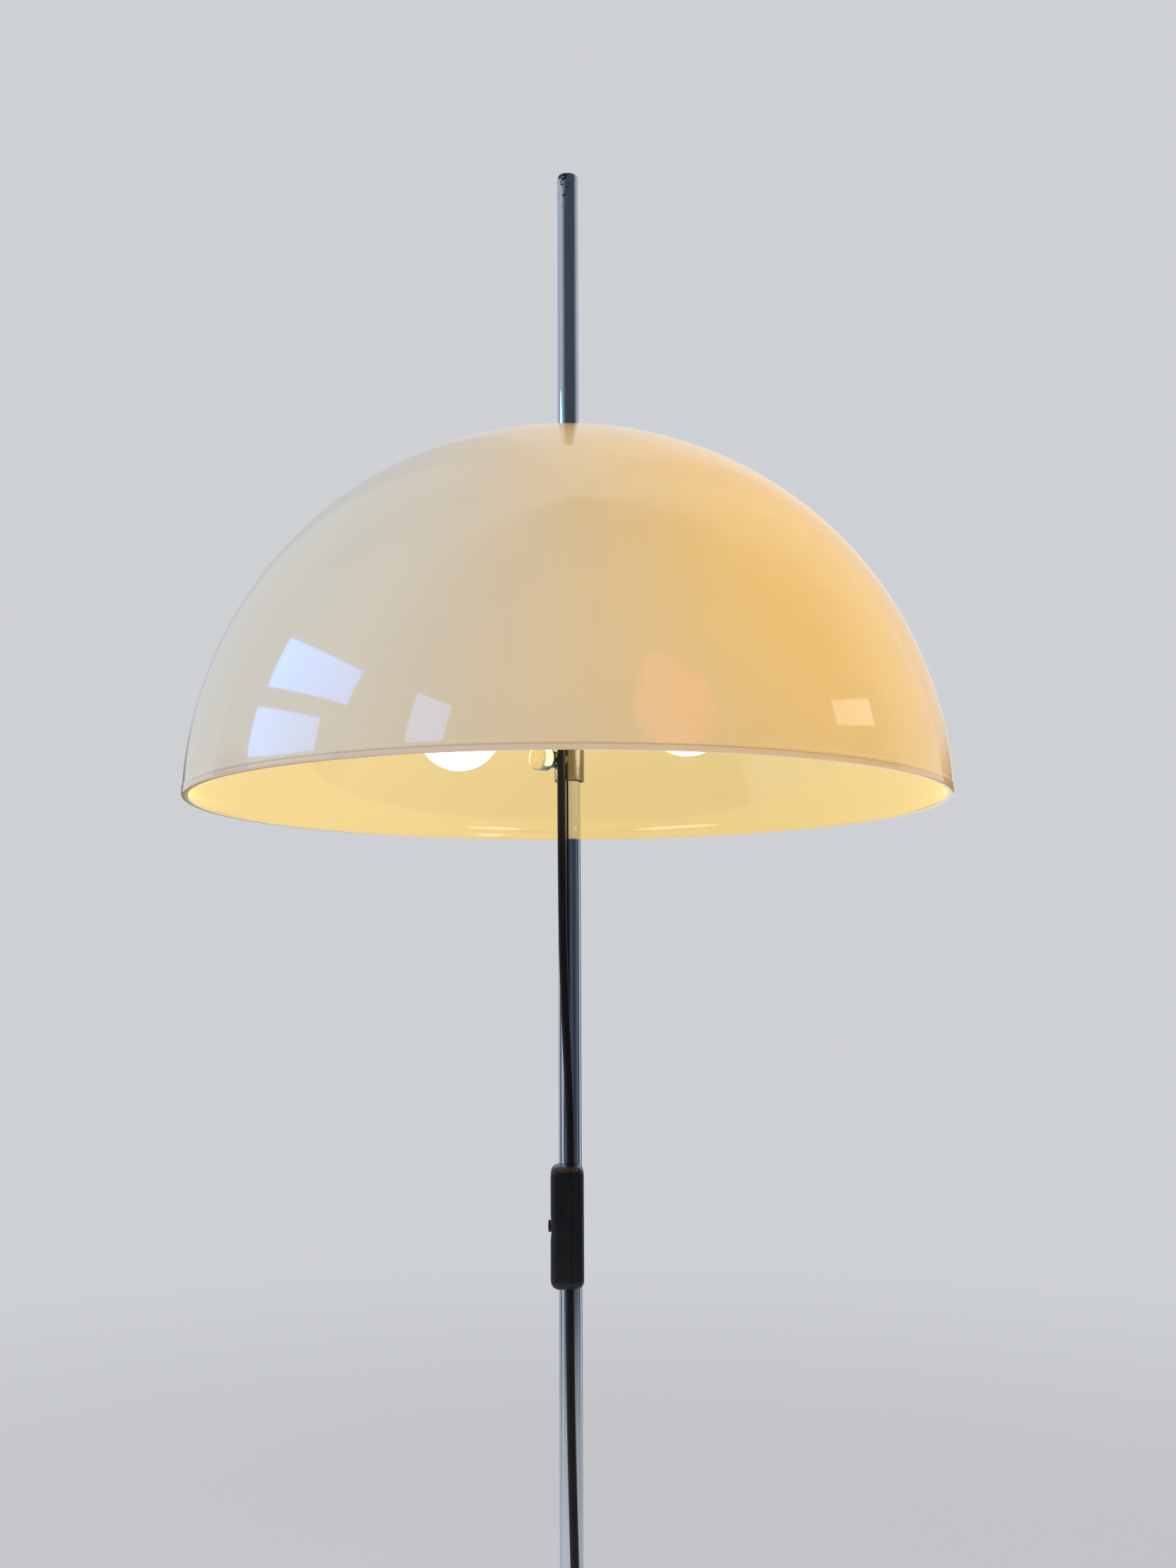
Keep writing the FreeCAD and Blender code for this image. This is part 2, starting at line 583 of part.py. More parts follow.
def holder_insert():
    """The porcelain cup that the bulb's cap screws into."""
    bore = CAP_D / 2 + INSERT_CLEAR
    outer = HOLDER_D / 2 - HOLDER_WALL - FIT
    cup = rod(outer, INSERT_MOUTH, HOLDER_BACK - INSERT_BACK)
    floor = BULB_GLASS_END + CAP_STRAIGHT + CAP_TIP_L + INSERT_CLEAR
    return cup.cut(rod(bore, INSERT_MOUTH - 1, floor))


def holder_cap():
    """The cap that closes the barrel and takes the nipple."""
    outer = HOLDER_D / 2
    top = HOLDER_CAP_TOP_D / 2
    inner_back = HOLDER_TOP - HOLDER_WALL
    cap = revolved((0, HOLDER_BACK), (outer, HOLDER_BACK), (outer, HOLDER_BACK + HOLDER_WALL),
                   (top, HOLDER_TOP), (0, HOLDER_TOP))
    hollow = revolved((0, HOLDER_BACK - 1), (outer - HOLDER_WALL, HOLDER_BACK - 1),
                      (outer - HOLDER_WALL, HOLDER_BACK + FIT), (top, inner_back - HOLDER_WALL),
                      (0, inner_back - HOLDER_WALL))
    return cap.cut(hollow).cut(rod(NIPPLE_D / 2 + FIT, HOLDER_BACK, HOLDER_TOP + 1))


def nipple():
    """The threaded tube between the holder's cap and the hub."""
    return ring(NIPPLE_D / 2, NIPPLE_BORE / 2, HOLDER_TOP - NIPPLE_IN_CAP, HOLDER_TOP + NIPPLE_IN_HUB)


def nipple_nut():
    """The nut on the nipple, inside the hub."""
    start = HOLDER_TOP + HUB_WALL + NUT_OFF_WALL
    bore = rod(NIPPLE_D / 2 + FIT, start - 1, start + NUT_H + 1)
    return hexagon(NUT_ACROSS, start, start + NUT_H).cut(bore)


def hub():
    """The hollow hub: a cone that faces the two holders, a side wall and a collar on the sleeve."""
    lift = HUB_WALL / math.sin(TILT)
    cavity_r = HUB_R - HUB_WALL
    floor = HUB_NOSE_Z + lift
    body = revolved((SLEEVE_R + FIT, HUB_NOSE_Z), (HUB_NOSE_R, HUB_NOSE_Z), (HUB_R, HUB_CONE_TOP_Z),
                    (HUB_R, HUB_TOP_Z), (cavity_r, HUB_TOP_Z),
                    (cavity_r, floor + (cavity_r - HUB_NOSE_R) * HUB_SLOPE),
                    (HUB_COLLAR_R, floor + (HUB_COLLAR_R - HUB_NOSE_R) * HUB_SLOPE),
                    (HUB_COLLAR_R, HUB_TOP_Z), (SLEEVE_R + FIT, HUB_TOP_Z))
    for azimuth in (POST_AZ, POST_AZ + 180):
        centre = polar(POST_R, azimuth, 0)
        post_floor = HUB_NOSE_Z + (POST_R - HUB_NOSE_R) * HUB_SLOPE + lift / 2
        body = fused([body, rod(POST_D / 2, post_floor, HUB_TOP_Z, centre.x, centre.y)])
        thread = rod(LID_SCREW_D / 2 + FIT, HUB_TOP_Z - LID_SCREW_L, HUB_TOP_Z + 1, centre.x, centre.y)
        body = body.cut(thread)
    for azimuth in (BULB_AZ, BULB_AZ + 180):
        hole = rod(NIPPLE_D / 2 + FIT, HOLDER_TOP - 2, HOLDER_TOP + NIPPLE_IN_HUB)
        body = body.cut(along_bulb(hole, azimuth))
    return body.cut(rod(GLAND_D / 2 + FIT, HUB_NOSE_Z - 1, BLOCK_Z, *GLAND_XY))


def hub_contents():
    """Lid, its screws, the terminal block, the leads and the cord's gland."""
    lid_top = HUB_TOP_Z + LID_T
    lid = ring(HUB_R, SLEEVE_R + SEAT, HUB_TOP_Z, lid_top)
    screws = []
    for azimuth in (POST_AZ, POST_AZ + 180):
        centre = polar(POST_R, azimuth, 0)
        lid = lid.cut(rod(LID_SCREW_D / 2 + FIT, HUB_TOP_Z - 1, lid_top + 1, centre.x, centre.y))
        head = rod(LID_SCREW_HEAD_D / 2, lid_top, lid_top + LID_SCREW_HEAD_H, centre.x, centre.y)
        shank = rod(LID_SCREW_D / 2, lid_top - LID_SCREW_L + LID_T, lid_top + 1, centre.x, centre.y)
        screws.append(fused([head, shank]))

    gland_az = math.degrees(math.atan2(GLAND_XY[1], GLAND_XY[0]))
    near = HUB_COLLAR_R + FIT
    far = near + BLOCK_T
    terminals = block((near, -BLOCK_W / 2, BLOCK_Z), (far, BLOCK_W / 2, BLOCK_Z + BLOCK_H))
    terminals.rotate(V(0, 0, 0), V(0, 0, 1), gland_az)

    lead_z = BLOCK_Z + BLOCK_H / 2
    nodes = {}
    for side, turn, azimuth in (("left", -1, BULB_AZ), ("right", 1, BULB_AZ + 180)):
        direction = polar(-math.cos(TILT), azimuth, math.sin(TILT))
        centre = polar(BULB_OUT, azimuth, RIM_Z + BULB_UP)
        sideways = polar(turn, gland_az + 90, 0)
        start = polar((near + far) / 2, gland_az, lead_z) + sideways * (BLOCK_W / 2)
        leaving = start + sideways * (2 * LEAD_D)
        leaving_az = math.degrees(math.atan2(leaving.y, leaving.x))
        halfway_az = leaving_az + ((azimuth - leaving_az + 180) % 360 - 180) / 2
        above = centre + direction * (HOLDER_TOP + NIPPLE_IN_HUB + 2 * LEAD_D)
        cavity_middle = (HUB_COLLAR_R + HUB_R - HUB_WALL) / 2
        points = [start, leaving, polar(cavity_middle, halfway_az, lead_z + LEAD_D), above,
                  centre + direction * (HOLDER_BACK - INSERT_BACK + FIT)]
        nodes["lead_" + side] = tube("lead_" + side, points, LEAD_D)

    gland_top = BLOCK_Z
    tip = GLAND_TIP_Z
    gland = Part.makeCone(GLAND_TIP_D / 2, GLAND_D / 2, HUB_NOSE_Z - tip, V(GLAND_XY[0], GLAND_XY[1], tip))
    neck = rod(GLAND_D / 2, HUB_NOSE_Z, gland_top, *GLAND_XY)
    collar_cut = rod(HUB_COLLAR_R + FIT, HUB_NOSE_Z, gland_top + 1)
    nodes["cord_gland"] = fused([gland, neck.cut(collar_cut)])
    nodes.update({"hub_lid": lid, "lid_screws": Part.makeCompound(screws), "terminal_block": terminals})
    return nodes


def lights():
    """The two holders with their bulbs."""
    nodes = {}
    makers = {"bulb_glass": bulb_glass, "bulb_cap": bulb_cap, "holder_shell": holder_shell,
              "holder_insert": holder_insert, "holder_cap": holder_cap, "nipple": nipple,
              "nipple_nut": nipple_nut}
    for name, make in makers.items():
        solid = make()
        for side, azimuth in (("left", BULB_AZ), ("right", BULB_AZ + 180)):
            nodes[name + "_" + side] = along_bulb(solid, azimuth)
    return nodes


# ================================================================ switch
def switch():
    """The push switch on the cord: two shells, a button, and what they hold."""
    half_w, half_l = SWITCH_W / 2, SWITCH_L / 2
    y0, z0 = SWITCH_Y, SWITCH_Z
    outer = rounded_block((FACE_X, y0 - half_w, z0 - half_l), (BACK_X, y0 + half_w, z0 + half_l), SWITCH_EDGE)
    cavity = rounded_block((FACE_INNER_X, y0 - half_w + SWITCH_WALL, z0 - half_l + SWITCH_WALL),
                           (BACK_INNER_X, y0 + half_w - SWITCH_WALL, z0 + half_l - SWITCH_WALL),
                           SWITCH_EDGE - SWITCH_WALL)
    shell = outer.cut(cavity)
    margin = SWITCH_L
    front_half = block((FACE_X - margin, y0 - margin, z0 - margin), (SEAM_X, y0 + margin, z0 + margin))
    front = shell.common(front_half)
    back = shell.cut(front_half)
    side = V(1, 0, 0)
    middle = V(0, y0, z0)
    post_r, screw_r = SWITCH_POST_D / 2, SWITCH_SCREW_D / 2
    screws = []
    for way in (-1, 1):
        at = middle + V(0, 0, way * SWITCH_POST_UP)
        front = fused([front, rod_along(post_r, FACE_INNER_X - 1, CARRIER_X, side, at)])
        front = front.cut(rod_along(screw_r + FIT, FACE_INNER_X, CARRIER_X + 1, side, at))
        back = fused([back, rod_along(post_r, SEAM_X, BACK_INNER_X + 1, side, at)])
        back = back.cut(rod_along(screw_r + FIT, SEAM_X - 1, BACK_X + 1, side, at))
        sink = rod_along(SWITCH_SCREW_HEAD_D / 2 + FIT, BACK_X - SWITCH_SCREW_HEAD_H, BACK_X + 1, side, at)
        back = back.cut(sink)
        head = rod_along(SWITCH_SCREW_HEAD_D / 2, BACK_X - SWITCH_SCREW_HEAD_H, BACK_X, side, at)
        screws.append(fused([rod_along(screw_r, FACE_INNER_X + FIT, BACK_X - 1, side, at), head]))

    dish_r = ((DISH_D / 2) ** 2 + DISH_DEPTH ** 2) / (2 * DISH_DEPTH)
    front = front.cut(Part.makeSphere(dish_r, V(FACE_X + DISH_DEPTH - dish_r, y0, z0)))
    button_r = BUTTON_D / 2
    front = front.cut(rod_along(button_r + BUTTON_CLEAR, FACE_X - 1, FACE_INNER_X + 1, side, middle))

    button_x = FACE_X - BUTTON_PROUD
    flange_x = FACE_INNER_X + SEAT
    spring_start = flange_x + BUTTON_FLANGE_T
    crown = BUTTON_PROUD / 2
    flange_r = BUTTON_FLANGE_D / 2
    stem_r = BUTTON_STEM_D / 2
    front_depth = flange_x - button_x
    back_depth = spring_start - button_x
    stem_depth = CARRIER_X - BUTTON_TRAVEL - SEAT - button_x
    button = revolved((0, 0), (button_r - crown, 0), (button_r, crown), (button_r, front_depth),
                      (flange_r, front_depth), (flange_r, back_depth), (stem_r, back_depth),
                      (stem_r, stem_depth), (0, stem_depth))
    button.Placement = FreeCAD.Placement(V(button_x, y0, z0), FreeCAD.Rotation(V(0, 0, 1), side))
    spring = rod_along(SPRING_D / 2, spring_start, CARRIER_X, side, middle)
    spring = spring.cut(rod_along(SPRING_D / 2 - SPRING_WIRE, spring_start - 1, CARRIER_X + 1, side, middle))

    carrier = block((CARRIER_X, y0 - CARRIER_W / 2, z0 - CARRIER_L / 2),
                    (SEAM_X, y0 + CARRIER_W / 2, z0 + CARRIER_L / 2))
    contacts = []
    for way in (-1, 1):
        at = middle + V(0, 0, way * SWITCH_POST_UP)
        carrier = carrier.cut(rod_along(screw_r + FIT, CARRIER_X - 1, SEAM_X + 1, side, at))
        mid_z = z0 + way * CONTACT_UP
        contacts.append(block((SEAM_X, y0 - CONTACT_W / 2, mid_z - CONTACT_L / 2),
                              (BACK_INNER_X - SEAT, y0 + CONTACT_W / 2, mid_z + CONTACT_L / 2)))
    return {"switch_front_shell": front, "switch_back_shell": back, "switch_button": button,
            "switch_spring": spring, "switch_carrier": carrier,
            "switch_contacts": Part.makeCompound(contacts), "switch_screws": Part.makeCompound(screws)}


# ================================================================ cord and plug
def coil():
    """The put-away cord: it spirals in on the floor and out again on top of itself.

    The radius shrinks at a steady rate and grows again, and the cord climbs to the
    second layer in the half turn where the spiral reverses.
    """
    total = 2 * COIL_TURNS
    steps = round(4 * total)

    def at(turn):
        radius = COIL_R - COIL_PITCH * (COIL_TURNS - abs(COIL_TURNS - turn))
        climb = min(max((turn - COIL_TURNS) / 0.5 + 0.5, 0), 1)
        angle = math.pi - 2 * math.pi * turn
        height = COIL_Z + COIL_PITCH * climb ** 2 * (3 - 2 * climb)
        return V(COIL_XY[0] + radius * math.cos(angle), COIL_XY[1] + radius * math.sin(angle), height)

    def heading(turn):
        step = 1e-4
        if turn < step:
            direction = V(0, 1, 0)
        elif turn > total - step:
            direction = V(1, 0, 0)
        else:
            direction = at(turn + step) - at(turn - step)
        return direction.normalize()

    turns = [total * k / steps for k in range(steps + 1)]
    first, last = at(turns[0]), at(turns[-1])
    lead_in = first - heading(turns[0]) * STRAIGHT_END
    lead_out = last + heading(turns[-1]) * STRAIGHT_END
    edges = [Part.LineSegment(lead_in, first).toShape()]
    for here, there in zip(turns, turns[1:]):
        edges.extend(biarc(at(here), heading(here), at(there), heading(there)))
    edges.append(Part.LineSegment(last, lead_out).toShape())
    path = Part.Wire(edges)
    circle = Part.Wire(Part.makeCircle(CORD_D / 2, lead_in, first - lead_in))
    solid = path.makePipeShell([circle], True, False)

    samples = [at(total * k / (60 * steps)) for k in range(60 * steps + 1)]
    apart = 30
    gap = min((p - q).Length for i, p in enumerate(samples[::3]) for q in samples[::3][i + apart:]) - CORD_D
    share = solid.Volume / (math.pi * CORD_D ** 2 / 4 * path.Length)
    print("cord_coil: length %.1f, volume %.4f of section times length, least gap to itself %.2f"
          % (path.Length, share, gap))
    return solid, lead_in, lead_out


def cord():
    """The cord's stretches, from the gland through the switch to the plug, and the plug."""
    gland_tip = V(GLAND_XY[0], GLAND_XY[1], GLAND_TIP_Z)
    upper = [gland_tip] + [V(x, y, RIM_Z + z) for x, y, z in CORD_UPPER_ROUTE]
    upper.append(V(CORD_UPPER_ROUTE[-1][0], CORD_UPPER_ROUTE[-1][1], SWITCH_TOP_Z))
    lower = [V(*point) for point in CORD_LOWER_ROUTE]
    lower.insert(0, V(lower[0].x, lower[0].y, SWITCH_BOTTOM_Z))
    coil_solid, coil_start, coil_end = coil()
    floor = [lower[-1]] + [V(*point) for point in CORD_FLOOR_ROUTE]
    floor.append(V(coil_start.x, coil_start.y - 3 * STRAIGHT_END, coil_start.z))
    floor.append(coil_start)
    relief_tip = V(PLUG_X - RELIEF_L, PLUG_Y, PLUG_Z)
    tail = [coil_end] + [V(*point) for point in CORD_TAIL_ROUTE] + [relief_tip]

    narrow = PLUG_BACK_W / 2
    wide = PLUG_W / 2
    middle = PLUG_X + PLUG_L / 2
    front = PLUG_X + PLUG_L
    half = [(PLUG_X, narrow), (middle, wide), (front, wide)]
    around = [(x, -y) for x, y in half] + half[::-1]
    outline = [V(x, PLUG_Y + y, PLUG_Z - PLUG_T / 2) for x, y in around]
    plug = Part.Face(Part.makePolygon(outline + outline[:1])).extrude(V(0, 0, PLUG_T))
    plug = plug.makeFillet(PLUG_EDGE, plug.Edges)
    pins = []
    for way in (-1, 1):
        at = V(0, PLUG_Y + way * PIN_SPACING / 2, PLUG_Z)
        pins.append(rod_along(PIN_D / 2, front, front + PIN_L, V(1, 0, 0), at))
    relief = Part.makeCone(RELIEF_TIP_D / 2, RELIEF_D / 2, RELIEF_L, relief_tip, V(1, 0, 0))
    return {"cord_upper": tube("cord_upper", upper, CORD_D), "cord_lower": tube("cord_lower", lower, CORD_D),
            "cord_floor": tube("cord_floor", floor, CORD_D), "cord_coil": coil_solid,
            "cord_tail": tube("cord_tail", tail, CORD_D), "plug_body": plug,
            "plug_pins": Part.makeCompound(pins), "plug_relief": relief}


def main():
    nodes = {}
    for make in (base, pole, bushes, clamp, shade_fixing, lights, hub_contents, switch, cord):
        nodes.update(make())
    nodes["sleeve"] = sleeve()
    nodes["shade"] = shade()
    nodes["socket_hub"] = hub()
    os.makedirs("parts", exist_ok=True)
    for name, shape in sorted(nodes.items()):
        solids = shape.Solids
        if not shape.isValid() or not solids or min(solid.Volume for solid in solids) <= 0:
            print("CHECK", name, "valid", shape.isValid(), "solids", len(solids))
        shape.exportStep("parts/%s.step" % name)
    print(len(nodes), "nodes")


main()
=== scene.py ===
"""The looks of a mushroom floor lamp: detailed pieces, finishes, cords, floor, lights and camera.

Shapes are worked out in millimetres in the lamp's own frame, with +Z up the pole and -Y the side
where the cord hangs, and become metres when their mesh is made.
"""

import json
import logging
import math
from dataclasses import dataclass
from enum import Enum
from typing import Callable, ClassVar, Sequence

import bmesh
import bpy
import numpy as np
from mathutils import Matrix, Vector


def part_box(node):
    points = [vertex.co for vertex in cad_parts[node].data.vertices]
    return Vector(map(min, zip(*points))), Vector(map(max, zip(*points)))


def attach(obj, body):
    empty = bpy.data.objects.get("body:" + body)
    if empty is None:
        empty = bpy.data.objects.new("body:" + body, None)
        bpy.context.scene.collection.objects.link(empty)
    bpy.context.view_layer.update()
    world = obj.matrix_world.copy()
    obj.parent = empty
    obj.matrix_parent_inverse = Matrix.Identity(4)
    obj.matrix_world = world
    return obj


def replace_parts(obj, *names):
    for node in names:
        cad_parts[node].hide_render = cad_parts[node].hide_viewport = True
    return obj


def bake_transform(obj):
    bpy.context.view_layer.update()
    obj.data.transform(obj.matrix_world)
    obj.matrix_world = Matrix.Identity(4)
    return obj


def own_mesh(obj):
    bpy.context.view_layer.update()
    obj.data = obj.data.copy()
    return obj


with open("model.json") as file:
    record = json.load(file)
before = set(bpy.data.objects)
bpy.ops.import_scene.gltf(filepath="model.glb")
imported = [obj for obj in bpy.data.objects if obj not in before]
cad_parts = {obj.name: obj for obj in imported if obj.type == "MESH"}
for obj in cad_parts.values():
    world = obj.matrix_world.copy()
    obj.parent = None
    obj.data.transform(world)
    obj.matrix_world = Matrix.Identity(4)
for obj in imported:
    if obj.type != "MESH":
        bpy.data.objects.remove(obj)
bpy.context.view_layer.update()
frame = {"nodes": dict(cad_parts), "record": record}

LOG = logging.getLogger("mushroom_lamp")
MM = 0.001
MERGE = MM / 2000              # points of a mesh that are nearer than this are one
TURN = 2 * math.pi

Array = np.ndarray
Piece = bpy.types.Object
Socket = bpy.types.NodeSocket
Colour = tuple[float, float, float]


class Body(Enum):
    """The rigid bodies that a piece can ride on."""

    STAND = "stand"
    LIFT = "lift"
    HEAD = "head"
    BUTTON = "button"
    CLAMP_PAD = "clamp_pad"
    THUMB_SCREW = "thumb_screw"


def low(node: str) -> Array:
    """Lowest corner of a node, in millimetres."""
    return np.array(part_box(node)[0]) / MM


def high(node: str) -> Array:
    """Highest corner of a node, in millimetres."""
    return np.array(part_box(node)[1]) / MM


RIM_Z = float(low("shade")[2])
POLE_R = 7.5
SLEEVE_R = 10.0
CORD_D = 5.6
BULB_AZIMUTHS = {"left": 157.0, "right": 337.0}
BULB_OUT = 84.0                # from the pole's axis to a bulb's centre
BULB_UP = 60.0                 # from the rim's plane to a bulb's centre


def bulb_centre(azimuth: float) -> Array:
    """Centre of a bulb's ball: out from the pole at its azimuth, and up from the rim."""
    angle = math.radians(azimuth)
    return np.array([BULB_OUT * math.cos(angle), BULB_OUT * math.sin(angle), RIM_Z + BULB_UP])


def angles(count: int) -> Array:
    """The angles, in radians, of an even number of steps round a full turn."""
    return np.arange(count) * TURN / count


def ends_of(node: str, axis: int = 2) -> tuple[float, float]:
    """Lowest and highest place of a node along one axis, in millimetres."""
    return float(low(node)[axis]), float(high(node)[axis])


# ---------------------------------------------------------------- shapes
def unit(vector: Array) -> Array:
    """The vector or vectors, with length one."""
    return vector / np.linalg.norm(vector, axis=-1, keepdims=True)


def arc(centre: tuple[float, float], radius: float, start: float, end: float, count: int) -> Array:
    """Points (radius, height) of an arc: centre + radius (cos a, sin a), with a in degrees."""
    angle = np.radians(np.linspace(start, end, count))
    return np.stack([centre[0] + radius * np.cos(angle), centre[1] + radius * np.sin(angle)], -1)


def rounded(corners: Sequence[tuple[float, ...]], closed: bool = True, steps: int = 5) -> Array:
    """An outline whose corners are rounded.

    A corner is cut back along both its sides by fillet / tan(half its angle). The arc between the
    two cuts runs about a centre on the corner's bisector, at fillet / sin(half its angle), and one
    more point each side of it keeps the flat sides flat when they are shaded.

    Args:
        corners: (radius, height, fillet) or (radius, height) of each corner, in order.
        closed: Whether the last corner joins the first.
        steps: Facets of each arc.

    Returns:
        The outline's points, one row each.
    """
    places = np.array([corner[:2] for corner in corners], float)
    last = len(corners) - 1
    pieces = []
    for k, corner in enumerate(corners):
        fillet = corner[2] if len(corner) > 2 else 0.0
        here = places[k]
        if fillet <= 0 or (not closed and k in (0, last)):
            pieces.append(here[None])
            continue
        sides = np.array([places[k - 1], places[(k + 1) % len(corners)]]) - here
        lengths = np.linalg.norm(sides, axis=1)
        sides = sides / lengths[:, None]
        half = math.acos(float(np.clip(sides[0] @ sides[1], -1, 1))) / 2
        cut = min(fillet / math.tan(half), 0.49 * float(lengths.min()))
        radius = cut * math.tan(half)
        centre = here + unit(sides.sum(0)) * radius / math.sin(half)
        ends = (here + sides * cut - centre) / radius
        angle = math.acos(float(np.clip(ends[0] @ ends[1], -1, 1)))
        share = np.linspace(0, 1, steps + 1)[:, None]
        bow = np.sin((1 - share) * angle) * ends[0] + np.sin(share * angle) * ends[1]
        bow /= math.sin(angle)
        support = here + sides * np.minimum(1.25 * cut, 0.499 * lengths)[:, None]
        pieces.extend([support[:1], centre + radius * bow, support[1:]])
    return np.concatenate(pieces)


def turned(outline: Array, segments: int = 96) -> Array:
    """Turn an outline about the axis: (r cos a, r sin a, z) for every angle a of a full turn.

    Args:
        outline: Points (radius, height), in order.
        segments: Steps of the turn.

    Returns:
        The grid, with a row for each point of the outline.
    """
    angle = angles(segments)
    radius, height = outline[:, :1], outline[:, 1:2]
    return np.stack([radius * np.cos(angle), radius * np.sin(angle), height + 0 * angle], -1)


@dataclass(frozen=True)
class Axis:
    """A line to build a piece on: the piece's own z runs along the direction."""

    origin: tuple[float, float, float]
    direction: tuple[float, float, float]

    def place(self, points: Array) -> Array:
        """Each point becomes origin + x u + y v + z w, with w along the axis and u, v square to it.

        Args:
            points: Points in the piece's own frame.

        Returns:
            The points in the lamp's frame.
        """
        w = unit(np.array(self.direction, float))
        guide = np.array([0.0, 0.0, 1.0]) if abs(w[2]) < 0.9 else np.array([1.0, 0.0, 0.0])
        u = unit(np.cross(guide, w))
        return np.array(self.origin) + points @ np.stack([u, np.cross(w, u), w])


@dataclass(frozen=True)
class Patch:
    """A grid of points, (rows, columns, 3), that a mesh is made from."""

    points: Array
    closed_rows: bool = False
    closed_columns: bool = True


def surface(name: str, *patches: Patch, crease: float = 35.0) -> Piece:
    """Make one mesh object from grids of points.

    Each face joins a point to its neighbours in the next row and column. Points that meet, as at
    a pole, are merged, and the faces are turned outwards.

    Args:
        name: The piece's name.
        patches: The grids, each a closed shell.
        crease: Edges sharper than this, in degrees, stay sharp.

    Returns:
        The object, at the origin, with its place in its mesh.
    """
    places, faces, marks, count = [], [], [], 0
    steps = ((0, 0), (0, 1), (1, 1), (1, 0))
    for patch in patches:
        rows, columns = patch.points.shape[:2]
        row, column = np.meshgrid(np.arange(rows - (not patch.closed_rows)),
                                  np.arange(columns - (not patch.closed_columns)), indexing="ij")
        row, column = row.ravel(), column.ravel()
        corners = [(row + i) % rows * columns + (column + j) % columns for i, j in steps]
        faces.append(np.stack(corners, -1) + count)
        shares = [np.stack([(column + j) / columns, (row + i) / rows], -1) for i, j in steps]
        marks.append(np.stack(shares, 1))
        places.append(patch.points.reshape(-1, 3) * MM)
        count += rows * columns
    faces = np.concatenate(faces)
    mesh = bpy.data.meshes.new(name)
    mesh.vertices.add(count)
    mesh.vertices.foreach_set("co", np.concatenate(places).ravel())
    mesh.loops.add(faces.size)
    mesh.loops.foreach_set("vertex_index", faces.ravel())
    mesh.polygons.add(len(faces))
    mesh.polygons.foreach_set("loop_start", np.arange(0, faces.size, 4))
    mesh.update(calc_edges=True)
    mesh.uv_layers.new(name="UVMap").data.foreach_set("uv", np.concatenate(marks).ravel())
    work = bmesh.new()
    work.from_mesh(mesh)
    bmesh.ops.remove_doubles(work, verts=work.verts, dist=MERGE)
    bmesh.ops.recalc_face_normals(work, faces=work.faces)
    work.to_mesh(mesh)
    work.free()
    mesh.shade_smooth()
    mesh.set_sharp_from_angle(angle=math.radians(crease))
    piece = bpy.data.objects.new(name, mesh)
    bpy.context.scene.collection.objects.link(piece)
    return piece


def tube(path: Array, radius: Array | float, segments: int = 16) -> Patch:
    """A closed tube about a path.

    Each ring is path + radius (cos a side + sin a up). The side vector is carried from point to
    point by taking away its part along the path, so that the tube doesn't twist.

    Args:
        path: The middle line's points, (n, 3).
        radius: One radius, or one for each point.
        segments: Points of each ring.

    Returns:
        The grid, with both ends drawn to a point.
    """
    along = unit(np.gradient(path, axis=0))
    sides = [unit(np.cross(along[0], (0.0, 1.0, 0.3)))]
    for heading in along[1:]:
        sides.append(unit(sides[-1] - heading * (sides[-1] @ heading)))
    side = np.array(sides)
    angle = angles(segments)
    reach = np.broadcast_to(np.asarray(radius, float), (len(path),))[:, None, None]
    up = np.cross(along, side)
    around = np.cos(angle)[:, None] * side[:, None] + np.sin(angle)[:, None] * up[:, None]
    ends = [np.repeat(path[k][None, None], segments, 1) for k in (0, -1)]
    return Patch(np.concatenate([ends[0], path[:, None] + reach * around, ends[1]]))


def spline_path(points: Array, resolution: int) -> Array:
    """Points along the smooth line that has the given points as its control points.

    Args:
        points: The control points.
        resolution: Steps from one of them to the next.

    Returns:
        The points along the line.
    """
    curve = bpy.data.curves.new("route", "CURVE")
    curve.dimensions = "3D"
    curve.resolution_u = resolution
    line = curve.splines.new("NURBS")
    line.points.add(len(points) - 1)
    line.points.foreach_set("co", np.hstack([points * MM, np.ones((len(points), 1))]).ravel())
    line.order_u = 3
    line.use_endpoint_u = True
    holder = bpy.data.objects.new("route", curve)
    mesh = bpy.data.meshes.new_from_object(holder)
    read = np.empty(3 * len(mesh.vertices))
    mesh.vertices.foreach_get("co", read)
    bpy.data.objects.remove(holder)
    bpy.data.curves.remove(curve)
    bpy.data.meshes.remove(mesh)
    return read.reshape(-1, 3) / MM


# ---------------------------------------------------------------- writing shader nodes
ROOM_LIGHT = (0.56, 0.61, 0.67)
ROOM_DARK = (0.03, 0.045, 0.065)


